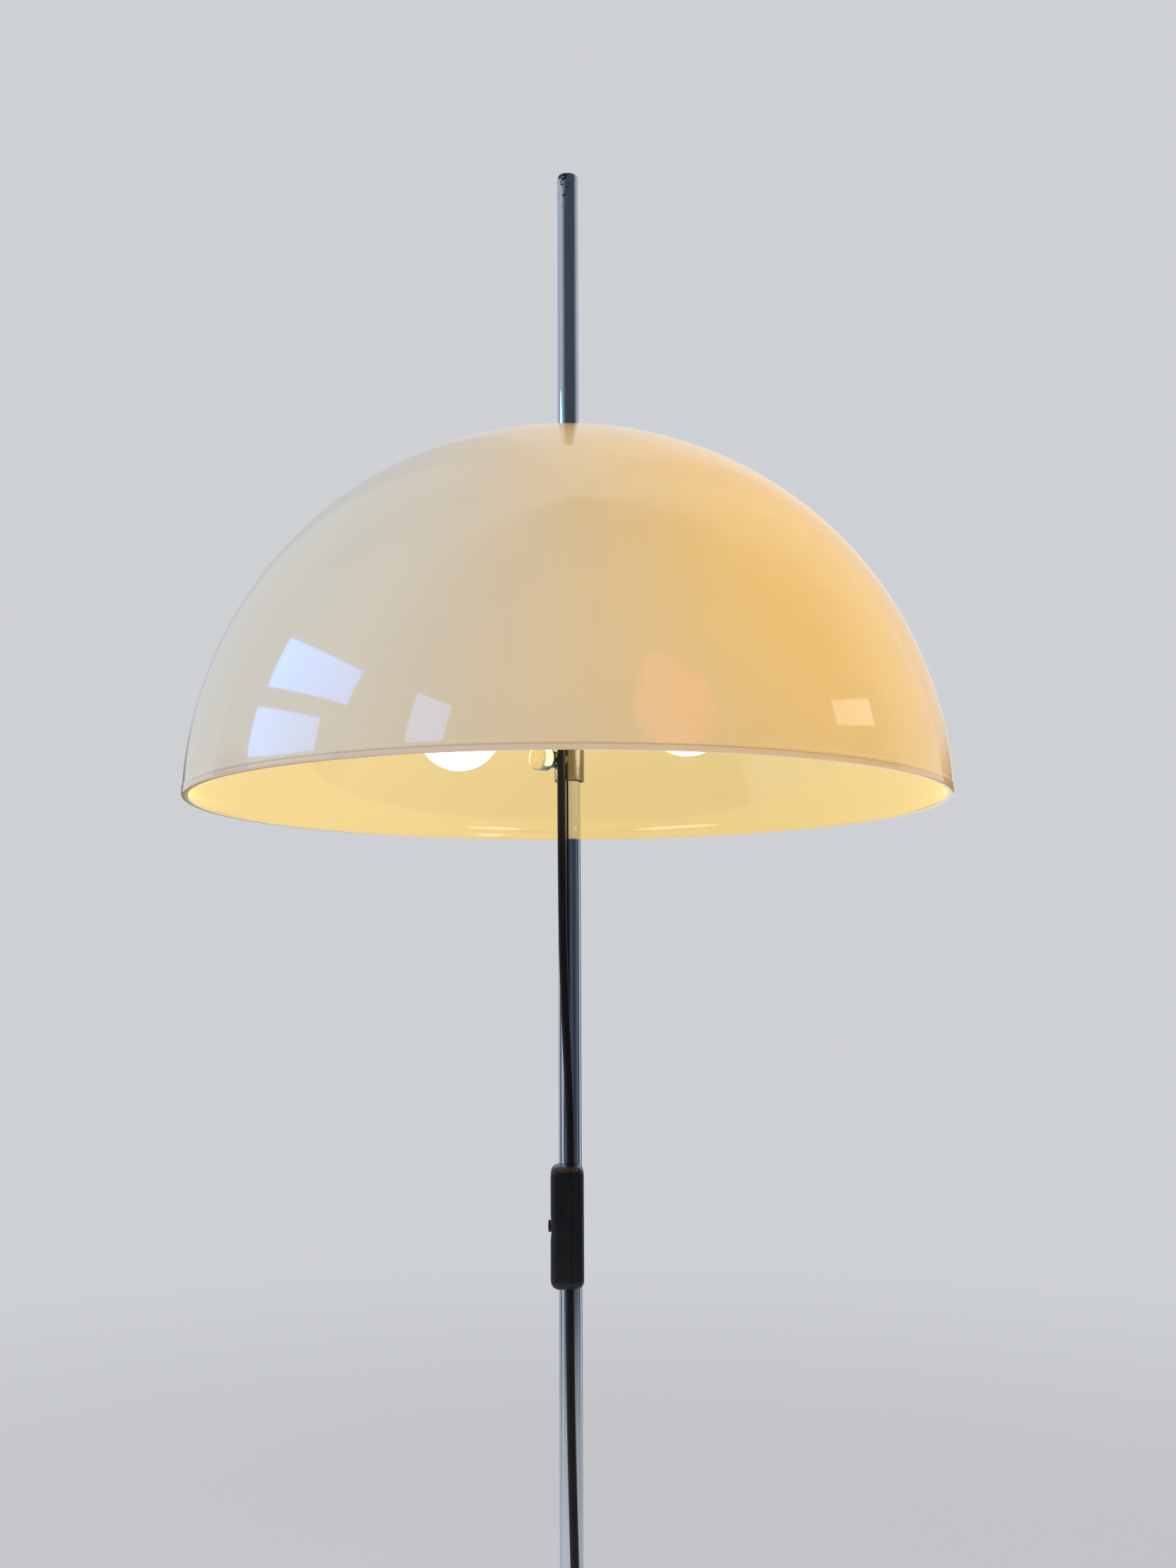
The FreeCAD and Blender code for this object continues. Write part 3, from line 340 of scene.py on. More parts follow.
class Graph:
    """Writes the nodes of one shader tree in few words."""

    def __init__(self, tree: bpy.types.NodeTree) -> None:
        """Keep the tree that the nodes go into."""
        self.tree = tree

    def feed(self, socket: Socket, value: object) -> None:
        """Link a socket to another one, or set its plain value.

        Args:
            socket: The input.
            value: Another node's output, or a plain value.
        """
        if isinstance(value, bpy.types.NodeSocket):
            self.tree.links.new(value, socket)
        else:
            socket.default_value = value

    def put(self, kind: str, inputs: dict | None = None, **settings: object) -> bpy.types.Node:
        """Add a node.

        Args:
            kind: The node's type, without its prefix.
            inputs: Values or sockets for its inputs, by name or number.
            settings: Its other properties.

        Returns:
            The node.
        """
        node = self.tree.nodes.new(kind if kind.startswith("Node") else "ShaderNode" + kind)
        for name, value in settings.items():
            setattr(node, name, value)
        for name, value in (inputs or {}).items():
            self.feed(node.inputs[name], value)
        return node

    def math(self, operation: str, *values: object, clamp: bool = False) -> Socket:
        """One operation on numbers."""
        return self.put("Math", dict(enumerate(values)), operation=operation,
                        use_clamp=clamp).outputs[0]

    def vector(self, operation: str, *values: object, out: int = 0) -> Socket:
        """One operation on vectors; out 1 is a number, such as a distance."""
        return self.put("VectorMath", dict(enumerate(values)), operation=operation).outputs[out]

    def noise(self, where: Socket, scale: object, detail: float = 3.0) -> Socket:
        """Soft noise from 0 to 1."""
        return self.put("TexNoise", {"Vector": where, "Scale": scale, "Detail": detail}).outputs[0]

    def span(self, value: Socket, start: float, end: float, first: float = 0.0,
             last: float = 1.0) -> Socket:
        """Carry a value smoothly from first, at start, to last, at end."""
        return self.put("MapRange", {0: value, 1: start, 2: end, 3: first, 4: last},
                        interpolation_type="SMOOTHSTEP").outputs[0]

    def stretch(self, where: Socket, scale: Colour, turn: Colour = (0, 0, 0)) -> Socket:
        """Scale and turn a pattern's coordinates."""
        return self.put("Mapping", {"Vector": where, "Scale": scale, "Rotation": turn}).outputs[0]

    def mix(self, share: object, first: object, second: object, blend: str = "MIX") -> Socket:
        """Mix two colours.

        Args:
            share: How much there is of the second.
            first: A colour or an output.
            second: A colour or an output.
            blend: How they are mixed.

        Returns:
            The mixed colour.
        """
        node = self.put("Mix", data_type="RGBA", blend_type=blend)
        for socket, value in zip((node.inputs[0], node.inputs[6], node.inputs[7]),
                                 (share, first, second)):
            self.feed(socket, (*value, 1) if isinstance(value, tuple) else value)
        return node.outputs[2]


@dataclass(frozen=True)
class Effect:
    """A shader node group that several finishes share."""

    name: str
    inputs: tuple[tuple[str, float], ...]
    output: str
    recipe: Callable[[Graph, dict[str, Socket]], Socket]

    def tree(self) -> bpy.types.NodeTree:
        """The group, built the first time that it is asked for.

        Returns:
            The group.
        """
        if self.name in bpy.data.node_groups:
            return bpy.data.node_groups[self.name]
        tree = bpy.data.node_groups.new(self.name, "ShaderNodeTree")
        tree.interface.new_socket("Place", in_out="INPUT", socket_type="NodeSocketVector")
        for name, value in self.inputs:
            tree.interface.new_socket(name, in_out="INPUT",
                                      socket_type="NodeSocketFloat").default_value = value
        tree.interface.new_socket(self.output, in_out="OUTPUT", socket_type="NodeSocketFloat")
        graph = Graph(tree)
        entry = graph.put("NodeGroupInput")
        result = self.recipe(graph, {socket.name: socket for socket in entry.outputs})
        graph.put("NodeGroupOutput", {0: result})
        return tree

    def place(self, graph: Graph, where: Socket, **values: float) -> Socket:
        """Put the group into a material with its own values.

        Args:
            graph: The material's nodes.
            where: The place on the lamp.
            values: Its other inputs, by name.

        Returns:
            Its output.
        """
        node = graph.put("Group", node_tree=self.tree())
        graph.feed(node.inputs["Place"], where)
        for name, value in values.items():
            graph.feed(node.inputs[name], value)
        return node.outputs[0]


def mottle_recipe(graph: Graph, given: dict[str, Socket]) -> Socket:
    """Broad noise with a finer one on it: two thirds of the first and one third of the second.

    Args:
        graph: The group's nodes.
        given: The group's inputs, by name.

    Returns:
        The tone, 0 to 1.
    """
    broad = graph.noise(given["Place"], given["Scale"], 2)
    fine = graph.noise(given["Place"], graph.math("MULTIPLY", given["Scale"], 6.3), 3)
    both = graph.math("MULTIPLY_ADD", fine, 0.33, graph.math("MULTIPLY", broad, 0.67))
    return graph.span(both, 0.34, 0.66)


def hairline_recipe(graph: Graph, given: dict[str, Socket]) -> Socket:
    """Thin curved lines where stretched noise crosses one half, in three directions, in patches.

    Args:
        graph: The group's nodes.
        given: The group's inputs, by name.

    Returns:
        The mask of the lines.
    """
    found = None
    for turn, seat in ((0.5, 0.497), (1.7, 0.503), (2.6, 0.51)):
        lay = graph.stretch(given["Place"], (1.0, 0.09, 0.35), (turn, turn * 0.7, turn))
        noise = graph.noise(lay, given["Scale"], 1)
        off = graph.math("ABSOLUTE", graph.math("SUBTRACT", noise, seat))
        line = graph.span(off, 0.0, 0.006, 1.0, 0.0)
        found = line if found is None else graph.math("MAXIMUM", found, line)
    broad = graph.noise(given["Place"], graph.math("MULTIPLY", given["Scale"], 0.6), 2)
    patched = graph.math("MULTIPLY", found, graph.span(broad, 0.5, 0.62))
    return graph.math("MULTIPLY", patched, given["Amount"], clamp=True)


def dust_recipe(graph: Graph, given: dict[str, Socket]) -> Socket:
    """Dust lies where the surface looks up, thicker in drifts.

    Args:
        graph: The group's nodes.
        given: The group's inputs, by name.

    Returns:
        The mask of the dust.
    """
    up = graph.put("SeparateXYZ", {0: graph.put("NewGeometry").outputs["Normal"]}).outputs[2]
    level = graph.span(up, 0.35, 1.0)
    drifts = graph.span(graph.noise(given["Place"], given["Scale"], 5), 0.3, 0.75, 0.25, 1.0)
    lying = graph.math("MULTIPLY", level, drifts)
    return graph.math("MULTIPLY", lying, given["Amount"], clamp=True)


def grain_recipe(graph: Graph, given: dict[str, Socket]) -> Socket:
    """Fine pits and bumps: noise with the cells of a finer pattern taken away.

    Args:
        graph: The group's nodes.
        given: The group's inputs, by name.

    Returns:
        The height.
    """
    soft = graph.noise(given["Place"], given["Scale"], 2)
    finer = graph.math("MULTIPLY", given["Scale"], 1.7)
    cells = graph.put("TexVoronoi", {"Vector": given["Place"], "Scale": finer}).outputs[0]
    return graph.math("MULTIPLY_ADD", cells, -0.35, soft)


def lathe_recipe(graph: Graph, given: dict[str, Socket]) -> Socket:
    """Turning lines: noise of the distance from the axis and the height alone, so rings about Z.

    Args:
        graph: The group's nodes.
        given: The group's inputs, by name.

    Returns:
        The height.
    """
    axes = graph.put("SeparateXYZ", {0: given["Place"]})
    flat = graph.put("CombineXYZ", {0: axes.outputs[0], 1: axes.outputs[1]}).outputs[0]
    out = graph.vector("LENGTH", flat, out=1)
    rings = graph.put("CombineXYZ", {0: out, 1: axes.outputs[2]}).outputs[0]
    return graph.noise(rings, given["Scale"], 3)


def room_recipe(graph: Graph, given: dict[str, Socket]) -> Socket:
    """How dark the room is in a direction: dark behind the camera, with upright streaks low down.

    Args:
        graph: The group's nodes.
        given: The group's inputs, by name.

    Returns:
        The darkness, 0 to 1.
    """
    heading = graph.put("SeparateXYZ", {0: graph.vector("NORMALIZE", given["Place"])})
    turn = graph.math("ARCTAN2", heading.outputs[0], heading.outputs[1])
    low_down = graph.span(heading.outputs[2], 0.22, 0.10, given["High Streaks"], 1.0)
    bands = graph.math("SINE", graph.math("MULTIPLY_ADD", turn, 7.0, 0.7))
    streaks = graph.math("MULTIPLY", graph.span(bands, -0.2, -0.6), low_down)
    toward = graph.math("COSINE", graph.math("SUBTRACT", turn, 2.8))
    return graph.math("MAXIMUM", streaks, graph.span(toward, -0.15, 0.75, 0.0, 0.93))


ROOM = Effect("Mirrored Room", (("High Streaks", 0.15),), "Darkness", room_recipe)
MOTTLE = Effect("Mottle", (("Scale", 30.0),), "Tone", mottle_recipe)
HAIRLINES = Effect("Hairlines", (("Scale", 60.0), ("Amount", 1.0)), "Mask", hairline_recipe)
DUST = Effect("Settled Dust", (("Scale", 120.0), ("Amount", 0.3)), "Mask", dust_recipe)
GRAIN = Effect("Fine Grain", (("Scale", 900.0),), "Height", grain_recipe)
LATHE = Effect("Turning Lines", (("Scale", 1500.0),), "Height", lathe_recipe)


# ---------------------------------------------------------------- finishes
@dataclass(frozen=True)
class Finish:
    """A finish: its colour and gloss with mottling, grain, hairline scratches and dust."""

    name: str
    colour: Colour
    second: Colour             # what the mottling leans to
    roughness: float
    metallic: float = 0.0
    mottle: float = 0.3
    mottle_scale: float = 30.0
    smudge: float = 0.08       # how far the roughness wanders
    grain: float = 0.01        # height of the grain, mm
    grain_scale: float = 900.0
    lathe: float = 0.0         # height of turning lines, mm
    hairlines: float = 0.4
    hairline_scale: float = 60.0
    dust: float = 0.12
    coat: float = 0.0
    sheen: float = 0.0
    ior: float = 1.5
    strength: float = 0.0      # of the light it gives off

    DUST_COLOUR: ClassVar[Colour] = (0.42, 0.40, 0.37)
    DUST_ROUGH: ClassVar[float] = 0.35       # what full dust adds to the roughness
    LINE_ROUGH: ClassVar[float] = 0.22       # what a hairline adds to it
    LINE_DEPTH: ClassVar[float] = 0.004      # mm
    COAT_ROUGH: ClassVar[float] = 0.03
    made: ClassVar[dict] = {}

    def material(self) -> bpy.types.Material:
        """The Blender material, made once.

        Returns:
            The material.
        """
        if self.name not in self.made:
            self.made[self.name] = self.build()
        return self.made[self.name]

    def build(self) -> bpy.types.Material:
        """Write the material's nodes.

        Returns:
            The material.
        """
        material = bpy.data.materials.new(self.name)
        material.use_nodes = True
        material.node_tree.nodes.clear()
        graph = Graph(material.node_tree)
        where = graph.put("TexCoord").outputs["Object"]
        tone = MOTTLE.place(graph, where, Scale=self.mottle_scale)
        lines = HAIRLINES.place(graph, where, Scale=self.hairline_scale, Amount=self.hairlines)
        dust = DUST.place(graph, where, Amount=self.dust)
        colour = graph.mix(graph.math("MULTIPLY", tone, self.mottle), self.colour, self.second)
        colour = graph.mix(dust, self.shade(graph, where, colour), self.DUST_COLOUR)
        wander = graph.math("MULTIPLY_ADD", tone, self.smudge, self.roughness - self.smudge / 2)
        worn = graph.math("MULTIPLY_ADD", lines, self.LINE_ROUGH, wander)
        rough = graph.math("MULTIPLY_ADD", dust, self.DUST_ROUGH, worn, clamp=True)
        grain = GRAIN.place(graph, where, Scale=self.grain_scale)
        height = graph.math("MULTIPLY", grain, self.grain)
        if self.lathe:
            height = graph.math("MULTIPLY_ADD", LATHE.place(graph, where), self.lathe, height)
        height = graph.math("MULTIPLY_ADD", lines, -self.LINE_DEPTH, height)
        height = self.relief(graph, where, height)
        bump = graph.put("Bump", {"Height": height, "Strength": 1.0, "Distance": MM})
        shader = graph.put("BsdfPrincipled", {
            "Base Color": colour, "Roughness": rough, "Metallic": self.metallic, "IOR": self.ior,
            "Coat Weight": self.coat, "Coat Roughness": self.COAT_ROUGH, "Sheen Weight": self.sheen,
            "Emission Strength": self.strength, "Normal": bump.outputs[0]})
        if self.strength:
            graph.feed(shader.inputs["Emission Color"], self.glow(graph, where))
        graph.put("OutputMaterial", {"Surface": shader.outputs[0]})
        return material

    def shade(self, graph: Graph, where: Socket, colour: Socket) -> Socket:
        """The colour, changed by what this finish adds."""
        return colour

    def relief(self, graph: Graph, where: Socket, height: Socket) -> Socket:
        """The height in mm, changed by what this finish adds."""
        return height

    def glow(self, graph: Graph, where: Socket) -> Socket | tuple[float, ...]:
        """The colour of the light it gives off."""
        return *self.colour, 1.0


@dataclass(frozen=True)
class Chipped(Finish):
    """Chrome with small chips and rust pits near the top end of the pole."""

    chip_top: float = 1.5      # the pole's top end, m
    chip_run: float = 0.034    # how far down from there chips are found, m
    chip_size: float = 330.0   # scale of the noise that places them
    chip_level: float = 0.765  # the noise and its bonus near the top have to pass this
    chip_depth: float = 0.05   # mm
    steel: Colour = (0.075, 0.06, 0.05)

    def chips(self, graph: Graph, where: Socket) -> Socket:
        """Mask of the chips: noise peaks that thin out below the top, on the front left side.

        Args:
            graph: The material's nodes.
            where: The place on the lamp.

        Returns:
            The mask.
        """
        axes = graph.put("SeparateXYZ", {0: where})
        up = graph.span(axes.outputs[2], self.chip_top - self.chip_run, self.chip_top - 0.004)
        side = graph.math("MULTIPLY", graph.span(axes.outputs[1], 0.0, -0.004),
                          graph.span(axes.outputs[0], 0.004, -0.002))
        peaks = graph.noise(where, self.chip_size, 2)
        bonus = graph.math("MULTIPLY", graph.math("MULTIPLY", up, side), 0.22)
        return graph.span(graph.math("ADD", peaks, bonus), self.chip_level, self.chip_level + 0.015)

    def shade(self, graph: Graph, where: Socket, colour: Socket) -> Socket:
        """Chips show the dull steel under the chrome."""
        return graph.mix(self.chips(graph, where), colour, self.steel)

    def relief(self, graph: Graph, where: Socket, height: Socket) -> Socket:
        """Chips are pits."""
        return graph.math("MULTIPLY_ADD", self.chips(graph, where), -self.chip_depth, height)


@dataclass(frozen=True)
class Opal(Finish):
    """Opal acrylic lit from inside, with its glow painted on as emission: warm, more so near the
    bulbs, and brighter inside.
    """

    bulbs: tuple[Colour, ...] = ()           # their centres, m
    shine: tuple[float, ...] = (0.8, 1.0)    # how much of each bulb comes through
    bulb_reach: tuple[float, float] = (0.345, 0.110)    # m, where a bulb's painted warmth ends and is full
    inner_reach: tuple[float, float] = (0.27, 0.10)     # the same for the inner face
    daylit: Colour = (-0.18, -0.14, 1.17)    # middle of the side that daylight falls on, m
    day_reach: tuple[float, float] = (0.06, 0.34)       # m, where daylight is full and ends
    day_warmth: float = 0.10                 # what is left of the warmth in full daylight
    spots: tuple[tuple[Colour, float], ...] = ()        # centre and radius of each painted image of the bulb seen through, m
    spot_edge: float = 0.005                 # m
    spot_share: float = 0.38
    rim: float = 1.045                       # height of the rim, m
    inside_radius: float = 0.248             # m, between the two faces of the wall
    warm: Colour = (1.16, 0.66, 0.14)        # painted glow outside, near a bulb
    cool: Colour = (0.12, 0.10, 0.06)        # painted glow outside, far from both
    painted_warm_tint: Colour = (0.34, 0.22, 0.05)   # base colour near a bulb, painted light: warmer where the bulbs shine through
    # base colour of the inner face, painted light: warm as the bulbs light it
    painted_inner_tint: Colour = (0.62, 0.52, 0.30)
    # colour of the painted image of the bulb seen through the shade
    spot: Colour = (1.16, 0.47, 0.15)
    bead: float = 0.0028                     # height of the rim's band of painted shade, m
    bead_soft: float = 0.0003                # m
    # the bead's painted shade, less glow and a darker tone, and the painted shadow line over it
    bead_painted_shade: Colour = (0.42, 0.28, 0.25)
    bead_shadow_line: Colour = (0.10, 0.05, 0.04)
    line_reach: tuple[float, float] = (0.0007, 0.0002)  # m, where the painted shadow line ends and is full
    line_share: float = 0.3
    # painted glow of the inner face, away from the bulbs and near them
    inner: Colour = (0.53, 0.40, 0.145)
    inner_near: Colour = (0.80, 0.62, 0.28)
    cloud_scale: float = 7.0

    def inside(self, graph: Graph, where: Socket) -> Socket:
        """1 on the inner face: nearer to the dome's centre than the middle of the wall."""
        out = graph.vector("DISTANCE", where, (0.0, 0.0, self.rim), out=1)
        return graph.math("LESS_THAN", out, self.inside_radius)

    def near(self, graph: Graph, where: Socket, reach: tuple[float, float]) -> Socket:
        """Nearness to the bulbs: the sum of a mask for each, times how much of it comes through.

        Args:
            graph: The material's nodes.
            where: The place on the lamp.
            reach: Distances at which a mask is 0 and 1.

        Returns:
            The sum, at most 1.
        """
        total = 0.0
        for centre, share in zip(self.bulbs, self.shine):
            mask = graph.span(graph.vector("DISTANCE", where, centre, out=1), *reach)
            total = graph.math("MULTIPLY_ADD", mask, share, total, clamp=True)
        return total

    def at_rim(self, graph: Graph, where: Socket) -> tuple[Socket, Socket]:
        """Masks by height for painted shade: the rim's darker band, and the fine shadow line over
        it.

        Args:
            graph: The material's nodes.
            where: The place on the lamp.

        Returns:
            The mask of the edge and the mask of the line.
        """
        height = graph.put("SeparateXYZ", {0: where}).outputs[2]
        top, soft = self.rim + self.bead, self.bead_soft
        off = graph.math("ABSOLUTE", graph.math("SUBTRACT", height, top + soft))
        line = graph.span(off, *self.line_reach, 0.0, self.line_share)
        return graph.span(height, top + soft, top - soft), line

    def painted_bulb_image(self, graph: Graph, where: Socket) -> Socket:
        """Mask of the painted image of the bulb seen through the shade: 1 inside any of the round
        spots, with soft edges.

        Args:
            graph: The material's nodes.
            where: The place on the lamp.

        Returns:
            The mask.
        """
        found = 0.0
        for centre, radius in self.spots:
            away = graph.vector("DISTANCE", where, centre, out=1)
            mask = graph.span(away, radius + self.spot_edge, radius - self.spot_edge)
            found = graph.math("MAXIMUM", found, mask)
        return found

    def warmth(self, graph: Graph, where: Socket) -> Socket:
        """How far the painted glow shows outside: near the bulbs, and less where daylight falls.

        Args:
            graph: The material's nodes.
            where: The place on the lamp.

        Returns:
            The warmth, 0 to 1.
        """
        away = graph.vector("DISTANCE", where, self.daylit, out=1)
        shade = graph.span(away, *self.day_reach, self.day_warmth, 1.0)
        return graph.math("MULTIPLY", self.near(graph, where, self.bulb_reach), shade)

    def glow(self, graph: Graph, where: Socket) -> Socket:
        """Painted glow: outside it goes from cool to warm near the bulbs, with a painted image of
        the right bulb seen through it.

        Args:
            graph: The material's nodes.
            where: The place on the lamp.

        Returns:
            The colour of the light.
        """
        bead, line = self.at_rim(graph, where)
        mottle = MOTTLE.place(graph, where, Scale=self.cloud_scale)
        cloud = graph.math("MULTIPLY_ADD", mottle, 0.10, 0.95)
        warmth = graph.math("MULTIPLY", self.warmth(graph, where), cloud)
        outer = graph.mix(warmth, self.cool, self.warm)
        seen = graph.math("MULTIPLY", self.painted_bulb_image(graph, where), self.spot_share)
        outer = graph.mix(seen, outer, self.spot)
        # painted shade at the bead, and a painted shadow line over it
        outer = graph.mix(graph.math("MULTIPLY", bead, 0.4), outer, self.bead_painted_shade)
        outer = graph.mix(line, outer, self.bead_shadow_line)
        inner = graph.mix(self.near(graph, where, self.inner_reach), self.inner, self.inner_near)
        return graph.mix(self.inside(graph, where), outer, inner)

    def shade(self, graph: Graph, where: Socket, colour: Socket) -> Socket:
        """Painted light in the base colour: warmer inside and where the bulbs' light comes through,
        and painted shade at the rim's bead.

        Args:
            graph: The material's nodes.
            where: The place on the lamp.
            colour: The mottled colour.

        Returns:
            The colour.
        """
        outer = graph.mix(self.warmth(graph, where), colour, self.painted_warm_tint)
        bead, line = self.at_rim(graph, where)
        # painted shade at the bead, and a painted shadow line over it
        outer = graph.mix(graph.math("MULTIPLY", bead, 0.35), outer, self.bead_painted_shade)
        outer = graph.mix(line, outer, self.bead_shadow_line)
        return graph.mix(self.inside(graph, where), outer, self.painted_inner_tint)


@dataclass(frozen=True)
class Lit(Finish):
    """Frosted lamp glass that gives off light."""

    dim: Colour = (1.0, 0.90, 0.70)
    bright: Colour = (1.0, 0.95, 0.80)
    cloud_scale: float = 45.0

    def glow(self, graph: Graph, where: Socket) -> Socket:
        """Nearly white, with the cloudy look of frosted glass."""
        cloud = MOTTLE.place(graph, where, Scale=self.cloud_scale)
        return graph.mix(graph.math("MULTIPLY", cloud, 0.5), self.dim, self.bright)


@dataclass(frozen=True)
class Felt(Finish):
    """Pressed wool felt: short fibres that lie all ways."""

    fibre_scale: float = 1400.0
    fibre_height: float = 0.25               # mm

    def relief(self, graph: Graph, where: Socket, height: Socket) -> Socket:
        """Fibres: noise stretched in two directions, and the higher of the two.

        Args:
            graph: The material's nodes.
            where: The place on the lamp.
            height: The height so far, mm.

        Returns:
            The height with the fibres.
        """
        lays = [graph.stretch(where, (1.0, 0.12, 1.0), (0, 0, 0.6)),
                graph.stretch(where, (0.12, 1.0, 1.0), (0, 0, 0.9))]
        first, second = (graph.noise(lay, self.fibre_scale, 2) for lay in lays)
        fibres = graph.math("MAXIMUM", first, second)
        return graph.math("MULTIPLY_ADD", fibres, self.fibre_height, height)


@dataclass(frozen=True)
class Sweep(Finish):
    """Studio floor paint that runs over into the pale background further out."""

    pale: Colour = (0.6, 0.6, 0.6)
    lift: Colour = (0.08, 0.08, 0.085)       # the little light that the near floor gives off
    near: float = 1.0                        # m from the lamp
    far: float = 3.6

    def out(self, graph: Graph, where: Socket) -> Socket:
        """0 near the lamp and 1 far from it."""
        return graph.span(graph.vector("LENGTH", where, out=1), self.near, self.far)

    def shade(self, graph: Graph, where: Socket, colour: Socket) -> Socket:
        """The paint fades out."""
        return graph.mix(self.out(graph, where), colour, (0.0, 0.0, 0.0))

    def glow(self, graph: Graph, where: Socket) -> Socket:
        """The background fades in; bright metal shows the room there.

        Args:
            graph: The material's nodes.
            where: The place on the lamp.

        Returns:
            The colour of the light.
        """
        room = graph.mix(ROOM.place(graph, where), ROOM_LIGHT, ROOM_DARK)
        seen = graph.mix(graph.put("LightPath").outputs["Is Glossy Ray"], self.pale, room)
        return graph.mix(self.out(graph, where), self.lift, seen)


@dataclass(frozen=True)
class Sheath(Finish):
    """The cord's sheath: smooth and a little uneven along its length, from the piece's UV map."""

    dents: Colour = (6.0, 240.0, 1.0)        # how many round the cord and along it
    dent_depth: float = 0.05                 # mm

    def relief(self, graph: Graph, where: Socket, height: Socket) -> Socket:
        """Shallow dents along the cord: noise on the UV map, stretched lengthwise.

        Args:
            graph: The material's nodes.
            where: The place on the lamp.
            height: The height so far, mm.

        Returns:
            The height with the dents.
        """
        along = graph.put("TexCoord").outputs["UV"]
        dents = graph.noise(graph.stretch(along, self.dents), 1.0, 2)
        return graph.math("MULTIPLY_ADD", dents, self.dent_depth, height)


class Finishes:
    """All the lamp's finishes, by what they are on."""

    opal = Opal("opal_acrylic_lit", (0.52, 0.51, 0.48), (0.55, 0.53, 0.48), 0.055, mottle=0.5,
                mottle_scale=9, smudge=0.03, grain=0.0015, grain_scale=160, hairlines=0.3,
                hairline_scale=22, dust=0.03, coat=0.6, ior=1.49, strength=0.62,
                spots=(((0.0455, -0.2425, 1.0835), 0.011), ((0.0530, -0.2431, 1.0675), 0.0205)),
                bulbs=tuple(tuple(bulb_centre(azimuth) * MM) for azimuth in BULB_AZIMUTHS.values()))
    bulb = Lit("frosted_lamp_glass_lit", (0.92, 0.90, 0.84), (0.95, 0.94, 0.90), 0.22, grain=0.006,
               hairlines=0.1, dust=0.03, strength=3.2)
    # the cool tint of this chrome's colour is a painted reflection of blue surroundings
    pole = Chipped("chromed_tube", (0.62, 0.67, 0.72), (0.52, 0.57, 0.63), 0.025, 1.0,
                   mottle_scale=22, smudge=0.02, grain=0.0004, grain_scale=300, hairlines=0.45,
                   hairline_scale=90, dust=0.03)
    chrome = Finish("chromed_steel", (0.62, 0.64, 0.66), (0.52, 0.54, 0.56), 0.10, 1.0,
                    mottle_scale=14, smudge=0.05, grain=0.001, grain_scale=420, lathe=0.0012,
                    hairlines=0.55, hairline_scale=55, dust=0.12)
    nickel = Finish("satin_nickel", (0.27, 0.24, 0.185), (0.19, 0.162, 0.115), 0.24, 1.0,
                    mottle=0.6, mottle_scale=60, grain=0.003, lathe=0.004, hairlines=0.7,
                    hairline_scale=150, dust=0.10)
    knob = Finish("turned_nickel", (0.95, 0.91, 0.70), (0.84, 0.77, 0.52), 0.22, 1.0, mottle=0.7,
                  mottle_scale=110, grain=0.004, grain_scale=1500, hairlines=1.0,
                  hairline_scale=320, dust=0.06)
    zinc = Finish("zinc_plated_steel", (0.62, 0.63, 0.62), (0.50, 0.50, 0.47), 0.38, 1.0,
                  mottle=0.6, mottle_scale=160, hairlines=0.8, hairline_scale=220, dust=0.1)
    brass = Finish("contact_brass", (0.78, 0.58, 0.28), (0.62, 0.42, 0.18), 0.30, 1.0, mottle=0.6,
                   mottle_scale=200, hairlines=0.6, hairline_scale=260)
    lamp_cap = Finish("pressed_lamp_cap", (0.72, 0.71, 0.68), (0.60, 0.58, 0.53), 0.32, 1.0,
                      mottle_scale=180, hairlines=0.8, hairline_scale=260)
    pins = Finish("plug_pin_nickel", (0.72, 0.71, 0.69), (0.62, 0.60, 0.57), 0.22, 1.0,
                  mottle_scale=150, hairlines=1.0, hairline_scale=260)
    iron = Finish("cast_iron_paint", (0.055, 0.055, 0.058), (0.085, 0.08, 0.075), 0.62, 0.0,
                  mottle=0.7, mottle_scale=60, grain=0.16, grain_scale=520, hairlines=0.3, dust=0.3)
    felt = Felt("pressed_felt", (0.045, 0.06, 0.05), (0.075, 0.09, 0.075), 0.95, mottle=0.8,
                mottle_scale=140, grain=0.08, grain_scale=1200, hairlines=0, dust=0.1, sheen=0.4)
    plastic = Finish("black_switch_plastic", (0.006, 0.0065, 0.008), (0.012, 0.012, 0.012), 0.27,
                     mottle=0.4, mottle_scale=70, smudge=0.04, grain=0.004, grain_scale=1300,
                     hairlines=0.5, hairline_scale=110, dust=0.02, ior=1.38)
    bakelite = Finish("black_phenolic", (0.013, 0.012, 0.012), (0.030, 0.022, 0.018), 0.22,
                      mottle=0.6, mottle_scale=90, grain=0.005, grain_scale=1000, hairlines=0.6,
                      hairline_scale=130, coat=0.3)
    sheath = Sheath("cord_sheath", (0.005, 0.0055, 0.0065), (0.009, 0.009, 0.010), 0.24, mottle=0.5,
                    mottle_scale=60, grain=0.008, grain_scale=1100, hairlines=0.5,
                    hairline_scale=120, dust=0.012, ior=1.32)
    rubber = Finish("black_rubber", (0.018, 0.018, 0.018), (0.035, 0.034, 0.033), 0.62, mottle=0.6,
                    mottle_scale=120, grain=0.02, grain_scale=1100, hairlines=0.2)
    nylon = Finish("natural_nylon", (0.74, 0.72, 0.65), (0.66, 0.63, 0.54), 0.42, mottle_scale=90,
                   grain=0.006, hairlines=0.5, hairline_scale=160)
    porcelain = Finish("glazed_porcelain", (0.82, 0.80, 0.75), (0.76, 0.73, 0.66), 0.12,
                       mottle_scale=50, grain=0.01, grain_scale=420, hairlines=0.05, coat=0.7)
    lead = Finish("lead_sleeve", (0.74, 0.73, 0.70), (0.62, 0.60, 0.55), 0.5, mottle_scale=160,
                  grain=0.03, grain_scale=1600, hairlines=0)


